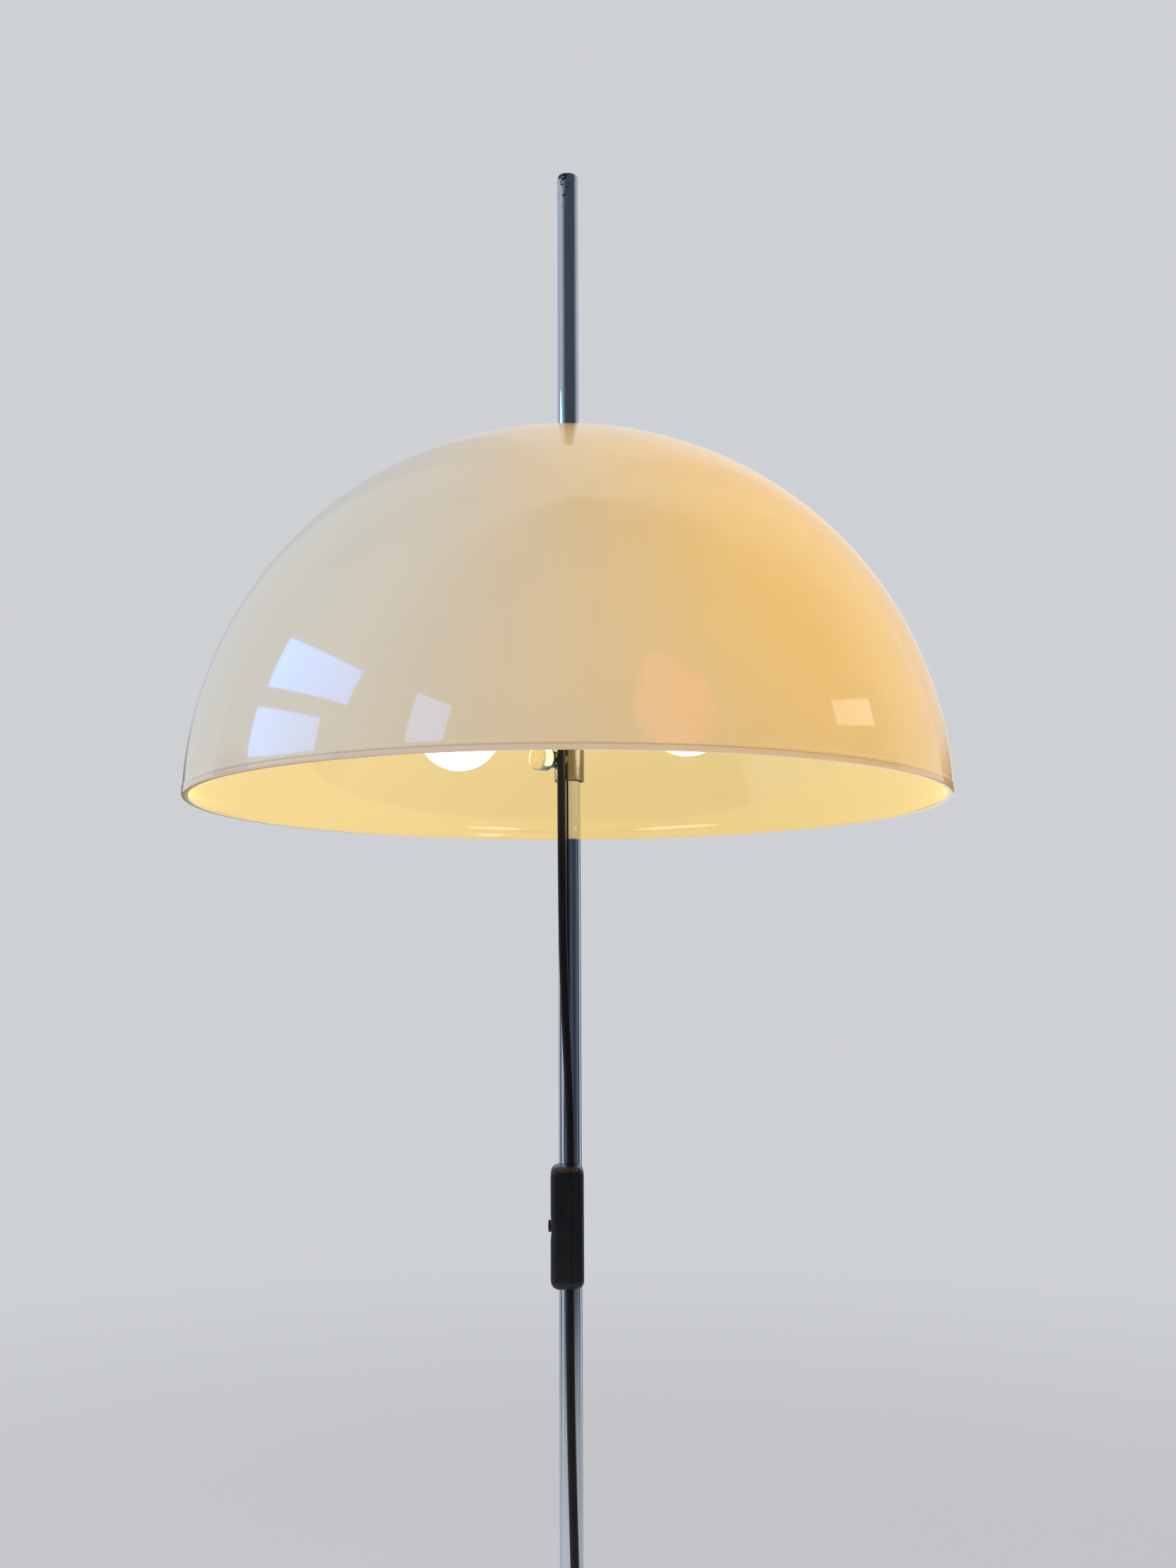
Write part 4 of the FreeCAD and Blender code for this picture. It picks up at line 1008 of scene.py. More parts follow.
# The finish of each material slot, for the nodes whose shape stays as it is.
SLOT_FINISH = {
    "felt": Finishes.felt,
    "cast_iron": Finishes.iron,
    "chrome": Finishes.chrome,
    "zinc_steel": Finishes.zinc,
    "cord_black": Finishes.sheath,
    "black_plastic": Finishes.plastic,
    "pin_nickel": Finishes.pins,
    "bush_nylon": Finishes.nylon,
    "contact_brass": Finishes.brass,
    "satin_nickel": Finishes.nickel,
    "knob_nickel": Finishes.knob,
    "opal_acrylic": Finishes.opal,
    "washer_rubber": Finishes.rubber,
    "lead_sleeve": Finishes.lead,
    "holder_black": Finishes.bakelite,
    "porcelain": Finishes.porcelain,
    "lamp_glass": Finishes.bulb,
    "lamp_cap": Finishes.lamp_cap,
}


def fit(piece: Piece, body: Body, finish: Finish, slot: str, *nodes: str) -> Piece:
    """Dress a piece and tie it to its body.

    Args:
        piece: The new piece.
        body: What it moves with.
        finish: Its finish.
        slot: The record's material slot; not used.
        nodes: The nodes that it stands for.

    Returns:
        The same piece.
    """
    piece.data.materials.append(finish.material())
    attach(piece, body.value)
    if nodes:
        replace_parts(piece, *nodes)
    LOG.info("%s rides on %s, %d faces", piece.name, body.value, len(piece.data.polygons))
    return piece


# ---------------------------------------------------------------- the stand
@dataclass
class Stand:
    """The pole and the round foot."""

    bore: float = 6.0
    pole_edge: float = 0.7
    base_radius: float = 140.0
    cover: float = 1.2             # the pressed cover's thickness
    cover_edge: float = 8.0
    cover_land: float = 16.0       # width of the flat ring
    centre_land: float = 19.0      # radius of the flat middle
    crown_rise: float = 7.0
    ferrule_radius: float = 14.0
    ferrule_edge: float = 2.5
    groove: tuple[float, ...] = (3.2, 3.6, 4.6, 5.0)    # its four corners over the ferrule's foot
    groove_depth: float = 0.8

    def build(self) -> None:
        """Make the pole, the cover and the ferrule."""
        bottom, top = ends_of("pole")
        outline = rounded([(self.bore, bottom, 0.3), (POLE_R, bottom, 0.3),
                           (POLE_R, top, self.pole_edge), (self.bore, top, 0.3)], steps=6)
        shaft = surface("pole_tube", Patch(turned(outline, 96), closed_rows=True))
        fit(shaft, Body.STAND, Finishes.pole, "chrome", "pole")
        self.make_cover()
        self.make_ferrule()

    def make_cover(self) -> None:
        """The pressed cover: a skirt, a rounded edge, a flat ring and a shallow crown.

        From the ring's inside to the middle the height rises by the crown times 1 - s^2, where s
        runs from 0 at the middle to 1 at the ring.
        """
        skirt, crown = ends_of("base_cover")
        land_z = crown - self.crown_rise
        land = self.base_radius - self.cover_edge - self.cover_land
        hole = POLE_R + 0.3
        share = np.linspace(0, 1, 40)
        radius = land + (self.centre_land - land) * share
        outwards = (radius - self.centre_land) / (land - self.centre_land)
        rise = (crown - land_z) * (1 - outwards ** 2)
        top = np.stack([radius, land_z + rise], -1)
        edge = (self.base_radius - self.cover_edge, land_z - self.cover_edge)
        side, wall = self.base_radius, self.cover
        outer = [(side, skirt), *arc(edge, self.cover_edge, 0, 90, 14), (land + 0.6, land_z), *top,
                 (hole, crown)]
        inner = [(hole, crown - wall), *(top[::-1] - (0, wall)), (land + 0.6, land_z - wall),
                 *arc(edge, self.cover_edge - wall, 90, 0, 14), (side - wall, skirt)]
        grid = turned(np.array(outer + inner), 256)
        piece = surface("base_cover_pressed", Patch(grid, closed_rows=True))
        fit(piece, Body.STAND, Finishes.chrome, "chrome", "base_cover")

    def make_ferrule(self) -> None:
        """The collar at the pole's foot, with a groove round it."""
        bottom, top = ends_of("pole_ferrule")
        bore, outer = POLE_R + 0.05, self.ferrule_radius
        first, start, end, last = (bottom + rise for rise in self.groove)
        deep = outer - self.groove_depth
        outline = rounded([(bore, bottom), (outer, bottom, 0.3), (outer, first, 0.3),
                           (deep, start, 0.2), (deep, end, 0.2), (outer, last, 0.3),
                           (outer, top, self.ferrule_edge), (bore, top, 0.3)])
        piece = surface("pole_ferrule_turned", Patch(turned(outline, 128), closed_rows=True))
        fit(piece, Body.STAND, Finishes.chrome, "chrome", "pole_ferrule")


# ---------------------------------------------------------------- sleeve, thumb screw
@dataclass
class Clamp:
    """The sleeve on the pole, its boss and the knurled thumb screw."""

    azimuth: float = 222.0
    height: float = 31.2           # the screw's axis over the rim
    segments: int = 72
    thread_run: float = 5.6        # how far below the ring nut the thread starts
    thread_rows: int = 200
    thread_depth: float = 0.3
    bush_bore: float = 8.8
    waist: float = 7.9
    lower_shoulder: float = 70.0   # over the rim
    boss_radius: float = 5.5
    boss_end: float = 17.0
    fillet: float = 1.6
    screw_radius: float = 3.0
    screw_start: float = 10.7
    neck_start: float = 17.4
    neck_radius: float = 4.2
    knob_start: float = 20.0
    knob_end: float = 28.8
    knob_radius: float = 8.5
    knob_chamfer: float = 0.75
    knurls: int = 64
    knurl_facets: int = 8          # segments to a knurl
    knurl_rows: int = 12
    knurl_depth: float = 0.28

    def axis(self) -> Axis:
        """The screw's axis, outwards from the pole."""
        angle = math.radians(self.azimuth)
        return Axis((0.0, 0.0, RIM_Z + self.height), (math.cos(angle), math.sin(angle), 0.0))

    def build(self) -> None:
        """Make the sleeve with its boss, and the thumb screw."""
        piece = surface("sleeve_tube", self.sleeve(), self.boss())
        fit(piece, Body.HEAD, Finishes.nickel, "satin_nickel", "sleeve")
        piece = surface("thumb_screw_knurled", self.thumb_screw())
        fit(piece, Body.THUMB_SCREW, Finishes.knob, "knob_nickel", "thumb_screw")

    def sleeve(self) -> Patch:
        """The tube, with a thread of 1 mm pitch on its top end.

        The thread lowers the outside by depth (1 + cos(angle - height over pitch)) / 2, which winds
        once round for each mm of height.

        Returns:
            The grid.
        """
        bottom, top = ends_of("sleeve")
        upper_shoulder = float(low("bush_upper")[2])
        lower_shoulder = RIM_Z + self.lower_shoulder
        start = float(low("shade_ring_nut")[2]) - self.thread_run
        plain = rounded([(self.bush_bore, lower_shoulder), (self.bush_bore, bottom, 0.35),
                         (SLEEVE_R, bottom, 0.5), (SLEEVE_R, start - 0.4), (SLEEVE_R, start - 0.2)],
                        closed=False)
        heights = np.linspace(start, top - 0.3, self.thread_rows)
        thread = np.stack([np.full(self.thread_rows, SLEEVE_R), heights], -1)
        inside = rounded([(self.bush_bore, top), (self.bush_bore, upper_shoulder),
                          (self.waist, upper_shoulder), (self.waist, lower_shoulder)], closed=False)
        grid = turned(np.concatenate([plain, thread, [[SLEEVE_R - 0.6, top]], inside]),
                      self.segments)
        rows = slice(len(plain), len(plain) + self.thread_rows)
        fade = np.clip((heights - start) / 1.5, 0, 1)[:, None]
        wind = np.cos(angles(self.segments) - TURN * heights[:, None])
        cut = self.thread_depth * fade * (1 + wind) / 2
        grid[rows, :, :2] *= (1 - cut / SLEEVE_R)[..., None]
        return Patch(grid, closed_rows=True)

    def boss(self) -> Patch:
        """The boss: its foot spreads in a fillet onto the round of the sleeve.

        A ring of radius p stands on the sleeve where its distance from the pole's axis is
        sqrt(R^2 - (p cos a)^2), so the fillet's foot follows the tube.

        Returns:
            The grid.
        """
        angle = angles(64)
        turn = np.linspace(0, math.pi / 2, 8)
        spread = self.boss_radius + self.fillet * (1 - np.sin(turn))
        rise = self.fillet * (1 - np.cos(turn))
        across = spread[:, None] * np.cos(angle)
        seat = np.sqrt(SLEEVE_R ** 2 - across ** 2) - 0.05
        foot = np.stack([across, spread[:, None] * np.sin(angle), seat + rise[:, None]], -1)
        face = rounded([(self.boss_radius, self.boss_end - 3),
                        (self.boss_radius, self.boss_end, 0.5),
                        (self.screw_radius + 0.7, self.boss_end, 0.2),
                        (self.screw_radius + 0.05, self.boss_end - 0.7),
                        (self.screw_radius + 0.05, 9.4), (self.boss_radius, 8.8)], closed=False)
        under = np.stack([across[0], spread[0] * np.sin(angle), seat[0] - 0.6], -1)[None]
        grid = np.concatenate([foot, turned(face, len(angle)), under])
        return Patch(self.axis().place(grid), closed_rows=True)

    def thumb_screw(self) -> Patch:
        """The screw: shank, neck and a head with straight knurls, which are dents round its rim.

        Round the rim the radius drops by depth |cos(n a / 2)|, fading out at both chamfers.

        Returns:
            The grid.
        """
        start, end, radius = self.knob_start, self.knob_end, self.knob_radius
        shank = rounded([(0, self.screw_start), (self.screw_radius, self.screw_start, 0.5),
                         (self.screw_radius, self.neck_start),
                         (self.neck_radius, self.neck_start, 0.25), (self.neck_radius, start, 0.3),
                         (radius - 0.9, start, 0.3)], closed=False)
        chamfer, count = self.knob_chamfer, self.knurl_rows
        rim = np.linspace(start + chamfer, end - chamfer, count)
        sides = np.stack([np.full(count, radius), rim], -1)
        face = rounded([(radius - chamfer, end - 0.02, 0.1), (radius - 1.3, end, 0.15), (0, end)],
                       closed=False)
        segments = self.knurl_facets * self.knurls
        grid = turned(np.concatenate([shank, [[radius - 0.35, start + 0.2]], sides,
                                      [[radius - 0.35, end - 0.25]], face]), segments)
        dent = self.knurl_depth * np.abs(np.cos(self.knurls * angles(segments) / 2)) ** 3
        rows = slice(len(shank) + 1, len(shank) + 1 + count)
        grid[rows, :, :2] *= (1 - dent / radius)[None, :, None]
        return Patch(self.axis().place(grid))


# ---------------------------------------------------------------- the shade
@dataclass
class Shade:
    """The opal dome and the ring nut that holds it."""

    radius: float = 250.0
    wall: float = 3.2
    bead: float = 4.6              # thickness of the rim's bead
    bead_height: float = 5.0
    bead_step: float = 0.4
    bead_slope: float = 2.6
    edge: float = 1.6
    land: float = 24.0             # radius of the flat that the washers lie on
    ripple: float = 0.10
    rows: tuple[int, int] = (120, 100)       # of the outer and the inner face
    segments: int = 320
    nut_radius: float = 21.0
    nut_edge: float = 1.5
    notch: float = 2.0
    notches: int = 4
    nut_segments: int = 384

    def build(self) -> None:
        """Make the dome and the ring nut."""
        piece = surface("shade_dome", self.dome())
        fit(piece, Body.HEAD, Finishes.opal, "opal_acrylic", "shade")
        piece = surface("ring_nut_notched", self.ring_nut())
        fit(piece, Body.HEAD, Finishes.nickel, "satin_nickel", "shade_ring_nut")

    def dome(self) -> Patch:
        """The dome: arcs of two spheres about the middle of the rim, with a bead at the rim.

        The blown sheet isn't perfectly round: its distance from the centre wanders by the ripple
        times sin(3 a + 1) sin(5 b), where a is the turn about the pole and b the angle off it.

        Returns:
            The grid.
        """
        outer, inner = self.radius - self.bead_step, self.radius - self.bead_step - self.wall
        hole = SLEEVE_R + 0.3
        top = math.sqrt(outer ** 2 - self.land ** 2)
        rim = self.bead_height + 1.5 * self.bead_step
        inner_land = math.sqrt(inner ** 2 - (top - self.wall) ** 2)
        lip_top = self.bead_height + self.bead_slope
        lip = self.radius - self.bead
        first = math.degrees(math.asin(top / outer))
        last = math.degrees(math.asin(rim / outer))
        inner_first = math.degrees(math.asin((top - self.wall) / inner))
        inner_last = math.degrees(math.asin(lip_top / inner))
        bead = rounded([(outer - 0.01, rim), (self.radius, self.bead_height, 0.5),
                        (self.radius, 0, self.edge), (lip, 0, self.edge),
                        (lip, self.bead_height, 0.8), (inner - 0.12, lip_top)], closed=False)
        outline = np.concatenate([[[hole, top - 0.3], [hole + 0.3, top], [self.land - 2, top]],
                                  arc((0, 0), outer, first, last, self.rows[0]), bead[1:-1],
                                  arc((0, 0), inner, inner_last, inner_first, self.rows[1]),
                                  [[inner_land - 2, top - self.wall], [hole + 0.3, top - self.wall],
                                   [hole, top - self.wall + 0.3]]])
        grid = turned(outline, self.segments)
        turn = np.arctan2(grid[..., 1], grid[..., 0])
        off = np.arctan2(np.hypot(grid[..., 0], grid[..., 1]), grid[..., 2])
        stretch = self.ripple * np.sin(3 * turn + 1) * np.sin(5 * off)
        stretch *= np.clip(grid[..., 2] / 40, 0, 1)
        stretch *= np.clip((outline[:, 0] - self.land) / 30, 0, 1)[:, None]
        grid *= (1 + stretch / self.radius)[..., None]
        grid[..., 2] += RIM_Z
        return Patch(grid, closed_rows=True)

    def ring_nut(self) -> Patch:
        """The nut: its side is drawn in by notches, each a round dent at an even turn.

        Returns:
            The grid.
        """
        bottom, top = ends_of("shade_ring_nut")
        bore, outer = SLEEVE_R + 0.05, self.nut_radius
        outline = rounded([(bore, bottom, 0.3), (outer, bottom, 0.4),
                           (outer, top - self.nut_edge, 0.5), (outer - self.nut_edge, top, 0.5),
                           (bore, top, 0.4)])
        step = TURN / self.notches
        beside = outer * np.abs((angles(self.nut_segments) + step) % step - step / 2)
        dent = np.sqrt(np.clip(self.notch ** 2 - beside ** 2, 0, None))
        grid = turned(outline, self.nut_segments)
        radius = np.hypot(grid[..., 0], grid[..., 1])
        kept = np.minimum(radius, outer - dent[None])
        grid[..., :2] *= (kept / radius)[..., None]
        return Patch(grid, closed_rows=True)


# ---------------------------------------------------------------- bulbs and holders
@dataclass
class Light:
    """One bulb in its holder, on an axis from the bulb's centre to the hub."""

    side: str
    azimuth: float
    tilt: float = 54.0
    ball: float = 30.0
    ball_end: float = 38.0         # degrees over the ball's middle, where the neck begins
    glass: float = 1.0
    neck: float = 13.5
    glass_end: float = 51.0
    cap_radius: float = 13.1
    cap_length: float = 22.0
    cap_rows: int = 56
    cap_pitch: float = 3.6
    cap_depth: float = 0.6
    holder_radius: float = 19.5
    holder_wall: float = 2.0
    mouth: float = 50.0
    back: float = 88.0
    top: float = 98.0
    top_radius: float = 7.5
    bore: float = 5.05
    segments: int = 96

    def axis(self) -> Axis:
        """From the ball's centre up and inwards to the hub.

        Returns:
            The axis.
        """
        angle, tilt = math.radians(self.azimuth), math.radians(self.tilt)
        level = math.cos(tilt)
        away = (-level * math.cos(angle), -level * math.sin(angle), math.sin(tilt))
        return Axis(tuple(bulb_centre(self.azimuth)), away)

    def build(self) -> None:
        """Make the glass, its cap, the barrel and the barrel's cap."""
        axis = self.axis()
        for name, patch, finish, slot in (
                ("bulb_glass", self.bulb(), Finishes.bulb, "lamp_glass"),
                ("bulb_cap", self.screw_cap(), Finishes.lamp_cap, "lamp_cap"),
                ("holder_shell", self.barrel(), Finishes.bakelite, "holder_black"),
                ("holder_cap", self.barrel_cap(), Finishes.bakelite, "holder_black")):
            node = f"{name}_{self.side}"
            placed = Patch(axis.place(patch.points), patch.closed_rows)
            fit(surface(f"{name}_fine_{self.side}", placed), Body.HEAD, finish, slot, node)

    def bulb(self) -> Patch:
        """The glass: a ball that runs into its neck, and its inside 1 mm within.

        The curve between them starts along the ball and ends along the neck: at share s it is
        (2s^3 - 3s^2 + 1) start + (s^3 - 2s^2 + s) leave + (3s^2 - 2s^3) end + (s^3 - s^2) arrive.

        Returns:
            The grid.
        """
        ball = arc((0, 0), self.ball, -90, self.ball_end, 72)
        share = np.linspace(0, 1, 18)[1:, None]
        start, end = ball[-1], np.array([self.neck, self.glass_end - 6])
        slope = math.radians(self.ball_end)
        leave = np.array([-math.sin(slope), math.cos(slope)]) * 26
        arrive = np.array([0.0, 20.0])
        bend = ((2 * share ** 3 - 3 * share ** 2 + 1) * start
                + (share ** 3 - 2 * share ** 2 + share) * leave
                + (3 * share ** 2 - 2 * share ** 3) * end
                + (share ** 3 - share ** 2) * arrive)
        outer = np.concatenate([ball, bend, [[self.neck, self.glass_end]]])
        inner = outer[::-1] * (1 - self.glass / self.ball)
        inner[0] = (self.neck - self.glass, self.glass_end)
        outer[0, 0] = inner[-1, 0] = 0.0
        return Patch(turned(np.concatenate([outer, inner]), self.segments))

    def screw_cap(self) -> Patch:
        """The cap: its thread's radius is mean + depth cos(angle - height over pitch).

        Returns:
            The grid.
        """
        start, end = self.glass_end, self.glass_end + self.cap_length
        heights = np.linspace(start + 1.5, end - 1.0, self.cap_rows)
        mean = self.cap_radius - 0.65
        head = [[0, start], [mean - 0.6, start], [mean, start + 0.6]]
        foot = rounded([(mean - 0.7, end - 0.2), (mean - 1.2, end, 0.5), (6.0, end + 2.6, 0.8),
                        (4.4, end + 3.4, 0.3), (4.2, end + 4.6, 0.5), (0, end + 5.0)], closed=False)
        side = np.stack([np.full(self.cap_rows, mean), heights], -1)
        grid = turned(np.concatenate([head, side, foot]), self.segments)
        fade = np.clip(np.minimum(heights - heights[0], heights[-1] - heights) / 2.0, 0, 1)[:, None]
        wind = np.cos(angles(self.segments) - TURN * heights[:, None] / self.cap_pitch)
        rows = slice(len(head), len(head) + self.cap_rows)
        grid[rows, :, :2] *= (1 + self.cap_depth * fade * wind / mean)[..., None]
        return Patch(grid)

    def barrel(self) -> Patch:
        """The barrel, with a rolled mouth and two grooves near its back.

        Returns:
            The grid.
        """
        r, mouth, back = self.holder_radius, self.mouth, self.back
        inner, deep = r - self.holder_wall, r - 0.5
        grooves = []
        for at in (back - 9.0, back - 5.0):
            grooves += [(r, at, 0.2), (deep, at + 0.5, 0.2)]
            grooves += [(deep, at + 1.1, 0.2), (r, at + 1.6, 0.2)]
        outline = rounded([(inner, mouth, 0.8), (r, mouth, 1.0), (r, mouth + 5, 0.3),
                           (deep, mouth + 5.6, 0.3), *grooves, (r, back, 0.3), (inner, back, 0.2)])
        return Patch(turned(outline, 128), closed_rows=True)

    def barrel_cap(self) -> Patch:
        """The cap that closes the barrel: a hollow cone with soft edges.

        Returns:
            The grid.
        """
        r, back, top, narrow = self.holder_radius, self.back, self.top, self.top_radius
        outline = rounded([(r - 2.2, back + 0.1, 0.2), (r, back + 0.1, 0.3), (r, back + 2, 0.8),
                           (narrow + 0.6, top - 0.2, 1.5), (narrow - 0.4, top, 0.3),
                           (self.bore, top, 0.2), (self.bore, top - 4, 0.2),
                           (narrow, top - 4, 0.5)])
        return Patch(turned(outline, 128), closed_rows=True)


# ---------------------------------------------------------------- the switch on the cord
def at_x(x: Array | float, ring: Array) -> Array:
    """A ring of points (y, z), each at its own x or all at one."""
    return np.column_stack([np.broadcast_to(x, len(ring)), ring])


@dataclass
class Switch:
    """The front half of the cord's push switch, with its dish, and the button."""

    middle: tuple[float, float] = (-20.0, 777.0)     # y and z
    face: float = -12.6
    seam: float = 0.4
    half_width: float = 12.0
    half_length: float = 37.3
    edge: float = 5.5
    wall: float = 1.8
    face_wall: float = 4.0
    dish_radius: float = 10.5
    dish_depth: float = 2.0
    hole: float = 3.9
    dish_rows: int = 18
    edge_rows: int = 12
    button: float = 3.7
    proud: float = 1.5
    flange: float = 5.2
    groove: float = 0.35           # chamfer along the seam
    spring_turns: float = 5.0
    spring_wire: float = 0.7
    travel: float = 1.7

    def build(self) -> list[Piece]:
        """Make the shell, the button and the spring.

        Returns:
            The shell and the button.
        """
        spring = fit(surface("switch_spring_wound", self.spring()), Body.LIFT, Finishes.zinc,
                     "zinc_steel", "switch_spring")
        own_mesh(spring)
        shell = fit(surface("switch_shell_dished", self.shell(), crease=30), Body.LIFT,
                    Finishes.plastic, "black_plastic", "switch_front_shell")
        button = fit(surface("switch_button_ringed", self.push_button()), Body.BUTTON,
                     Finishes.plastic, "black_plastic", "switch_button")
        return [shell, button]

    def outline(self, inset: float) -> Array:
        """A rounded rectangle in (y, z), drawn in by the inset.

        It is four quarter turns about its corners, with straight runs between them.

        Args:
            inset: How far it is drawn in, mm.

        Returns:
            The points (y, z) about the middle.
        """
        radius = max(self.edge - inset, 0.05)
        turn = np.linspace(0, 90, 9)
        corners = []
        for k, (sy, sz) in enumerate(((1, 1), (-1, 1), (-1, -1), (1, -1))):
            angle = np.radians(turn + 90 * k)
            y = sy * (self.half_width - inset - radius) + radius * np.cos(angle)
            z = sz * (self.half_length - inset - radius) + radius * np.sin(angle)
            corners.append(np.stack([y, z], -1))
        points = []
        for here, there, count in zip(corners, corners[1:] + corners[:1], (6, 22, 6, 22)):
            share = np.linspace(0, 1, count + 2)[1:-1, None]
            points += [here, here[-1] * (1 - share) + there[0] * share]
        return np.concatenate(points)

    def box_depth(self, ring: Array) -> Array:
        """How far the rounded block's face lies behind its flat, at points (y, z) of a ring.

        Args:
            ring: Points (y, z) about the middle.

        Returns:
            The depth at each point, mm.
        """
        core = np.array([self.half_width - self.edge, self.half_length - self.edge])
        over = np.linalg.norm(np.clip(np.abs(ring) - core, 0, None), axis=-1)
        return self.edge - np.sqrt(np.clip(self.edge ** 2 - over ** 2, 0, None))

    def dish(self, ring: Array) -> Array:
        """Depth of the dish, a ball's cap that the finger fits, at points (y, z) of a ring.

        Args:
            ring: Points (y, z) about the middle.

        Returns:
            The depth at each point, mm.
        """
        ball = (self.dish_radius ** 2 + self.dish_depth ** 2) / (2 * self.dish_depth)
        out = np.linalg.norm(ring, axis=-1)
        return self.dish_depth - ball + np.sqrt(np.clip(ball ** 2 - out ** 2, 0, None))

    def shell(self) -> Patch:
        """Rings from the button's hole over the dish and the edge to the seam, and back inside.

        At each point the face lies at the deeper of the block's own face and the dish.

        Returns:
            The grid.
        """
        full = self.outline(0.0)
        heading = unit(full)
        brim = self.dish_radius + 0.9
        rings = [heading * radius for radius in np.linspace(self.hole, brim, self.dish_rows)]
        share = np.sin(np.linspace(0, math.pi / 2, self.edge_rows))[1:]
        rings += [heading * brim * (1 - part) + full * part for part in share]
        rows = [at_x(self.face + np.maximum(self.box_depth(ring), self.dish(ring)), ring)
                for ring in rings]
        rows += [at_x(self.seam - 2, full), at_x(self.seam - self.groove, full),
                 at_x(self.seam, self.outline(self.groove)),
                 at_x(self.seam, self.outline(self.wall))]
        inner_face, rounding = self.face + self.face_wall, self.edge - self.wall
        for turn in np.linspace(0, math.pi / 2, 6):
            inset = self.wall + rounding * (1 - math.cos(turn))
            rows.append(at_x(inner_face + rounding * (1 - math.sin(turn)), self.outline(inset)))
        rows.append(at_x(inner_face, heading * self.hole))
        return Patch(np.array(rows) + (0.0, *self.middle), closed_rows=True)

    def spring(self) -> Patch:
        """The spring's wire, on a helix whose first and last turn lie flat.

        At share s of its length the angle is s times all turns; the way along the axis follows s
        smoothly between the flat ends.

        Returns:
            The grid.
        """
        (front, back), (left, right) = ends_of("switch_spring", 0), ends_of("switch_spring", 1)
        half = self.spring_wire / 2
        share = np.linspace(0, 1, 160)
        flat = 0.8 / self.spring_turns
        along = np.clip((share - flat) / (1 - 2 * flat), 0, 1)
        angle = TURN * self.spring_turns * share
        radius = (right - left) / 2 - half
        y, z = self.middle
        path = np.stack([front + half + (back - front - 2 * half) * along,
                         y + radius * np.cos(angle), z + radius * np.sin(angle)], -1)
        return tube(path, half, 10)

    def push_button(self) -> Patch:
        """The button: a crowned disc with two fine rings, and its flange inside.

        Returns:
            The grid.
        """
        top, r = self.face - self.proud, self.button
        flange = self.face + self.face_wall + 0.3 - top
        under = flange + 1.4
        back = high("switch_button")[0] - top
        outline = rounded([(0, 0.12), (1.1, 0.10), (1.25, 0.28, 0.1), (1.5, 0.28, 0.1),
                           (1.65, 0.08, 0.1), (2.3, 0.02), (2.45, 0.2, 0.1), (2.7, 0.2, 0.1),
                           (2.85, 0, 0.1), (r - 0.2, 0.05, 0.3), (r, 0.6, 0.3), (r, flange),
                           (self.flange, flange, 0.2), (self.flange, under, 0.2), (1.8, under),
                           (1.8, back, 0.3), (0, back)], closed=False)
        axis = Axis((top, *self.middle), (1.0, 0.0, 0.0))
        return Patch(axis.place(turned(outline, 72)))


# ---------------------------------------------------------------- cords and plug
UPPER_ROUTE = [(-5.0, -17.5, 1144.2), (-5.3, -17.4, 1090.0), (-5.1, -17.3, 1015.0),
               (-4.4, -17.7, 945.0), (-1.6, -19.3, 877.0), (0.0, -20.0, 839.0), (0.0, -20.0, 814.3)]
LOWER_ROUTE = [(-0.5, -20.0, 739.7), (-0.5, -20.0, 705.0), (0.1, -20.3, 650.0), (1.9, -21.0, 575.0),
               (4.2, -22.3, 497.0), (4.8, -23.2, 416.0), (2.6, -24.0, 336.0), (-0.6, -24.7, 256.0),
               (-2.9, -25.3, 181.0), (-3.6, -26.0, 115.0), (-4.2, -26.4, 78.0), (-9.5, -27.0, 51.0),
               (-25.0, -27.8, 32.0), (-49.0, -26.6, 27.0), (-74.0, -17.0, 24.6), (-95.0, 2.5, 22.6),
               (-110.0, 28.5, 21.4), (-124.0, 56.0, 21.6), (-137.5, 79.0, 11.0),
               (-151.5, 99.0, 3.1), (-166.0, 126.0, 3.1), (-166.0, 144.0, 3.1)]
TAIL_ROUTE = [(-119.0, 191.0, 9.4), (-97.0, 191.0, 8.7), (-77.0, 190.6, 7.3), (-59.0, 191.0, 7.3)]


@dataclass
class Coil:
    """The put-away length: two layers of turns that spiral in and out again at a steady rate."""

    centre: tuple[float, float] = (-125.0, 150.0)
    radius: float = 41.0
    pitch: float = 6.3
    turns: float = 2.625           # in each layer
    height: float = 3.1
    points_a_turn: int = 30

    def points(self) -> Array:
        """Control points of the turns.

        At turn t the angle is half a turn less t whole turns, the radius shrinks by the pitch each
        turn until the middle and grows again, and the height climbs one pitch smoothly in the half
        turn round the middle.

        Returns:
            The points.
        """
        total = 2 * self.turns
        turn = np.linspace(0, total, round(total * self.points_a_turn) + 1)
        radius = self.radius - self.pitch * (self.turns - np.abs(self.turns - turn))
        climb = np.clip((turn - self.turns) / 0.5 + 0.5, 0, 1)
        angle = math.pi - TURN * turn
        x = self.centre[0] + radius * np.cos(angle)
        y = self.centre[1] + radius * np.sin(angle)
        return np.stack([x, y, self.height + self.pitch * climb ** 2 * (3 - 2 * climb)], -1)


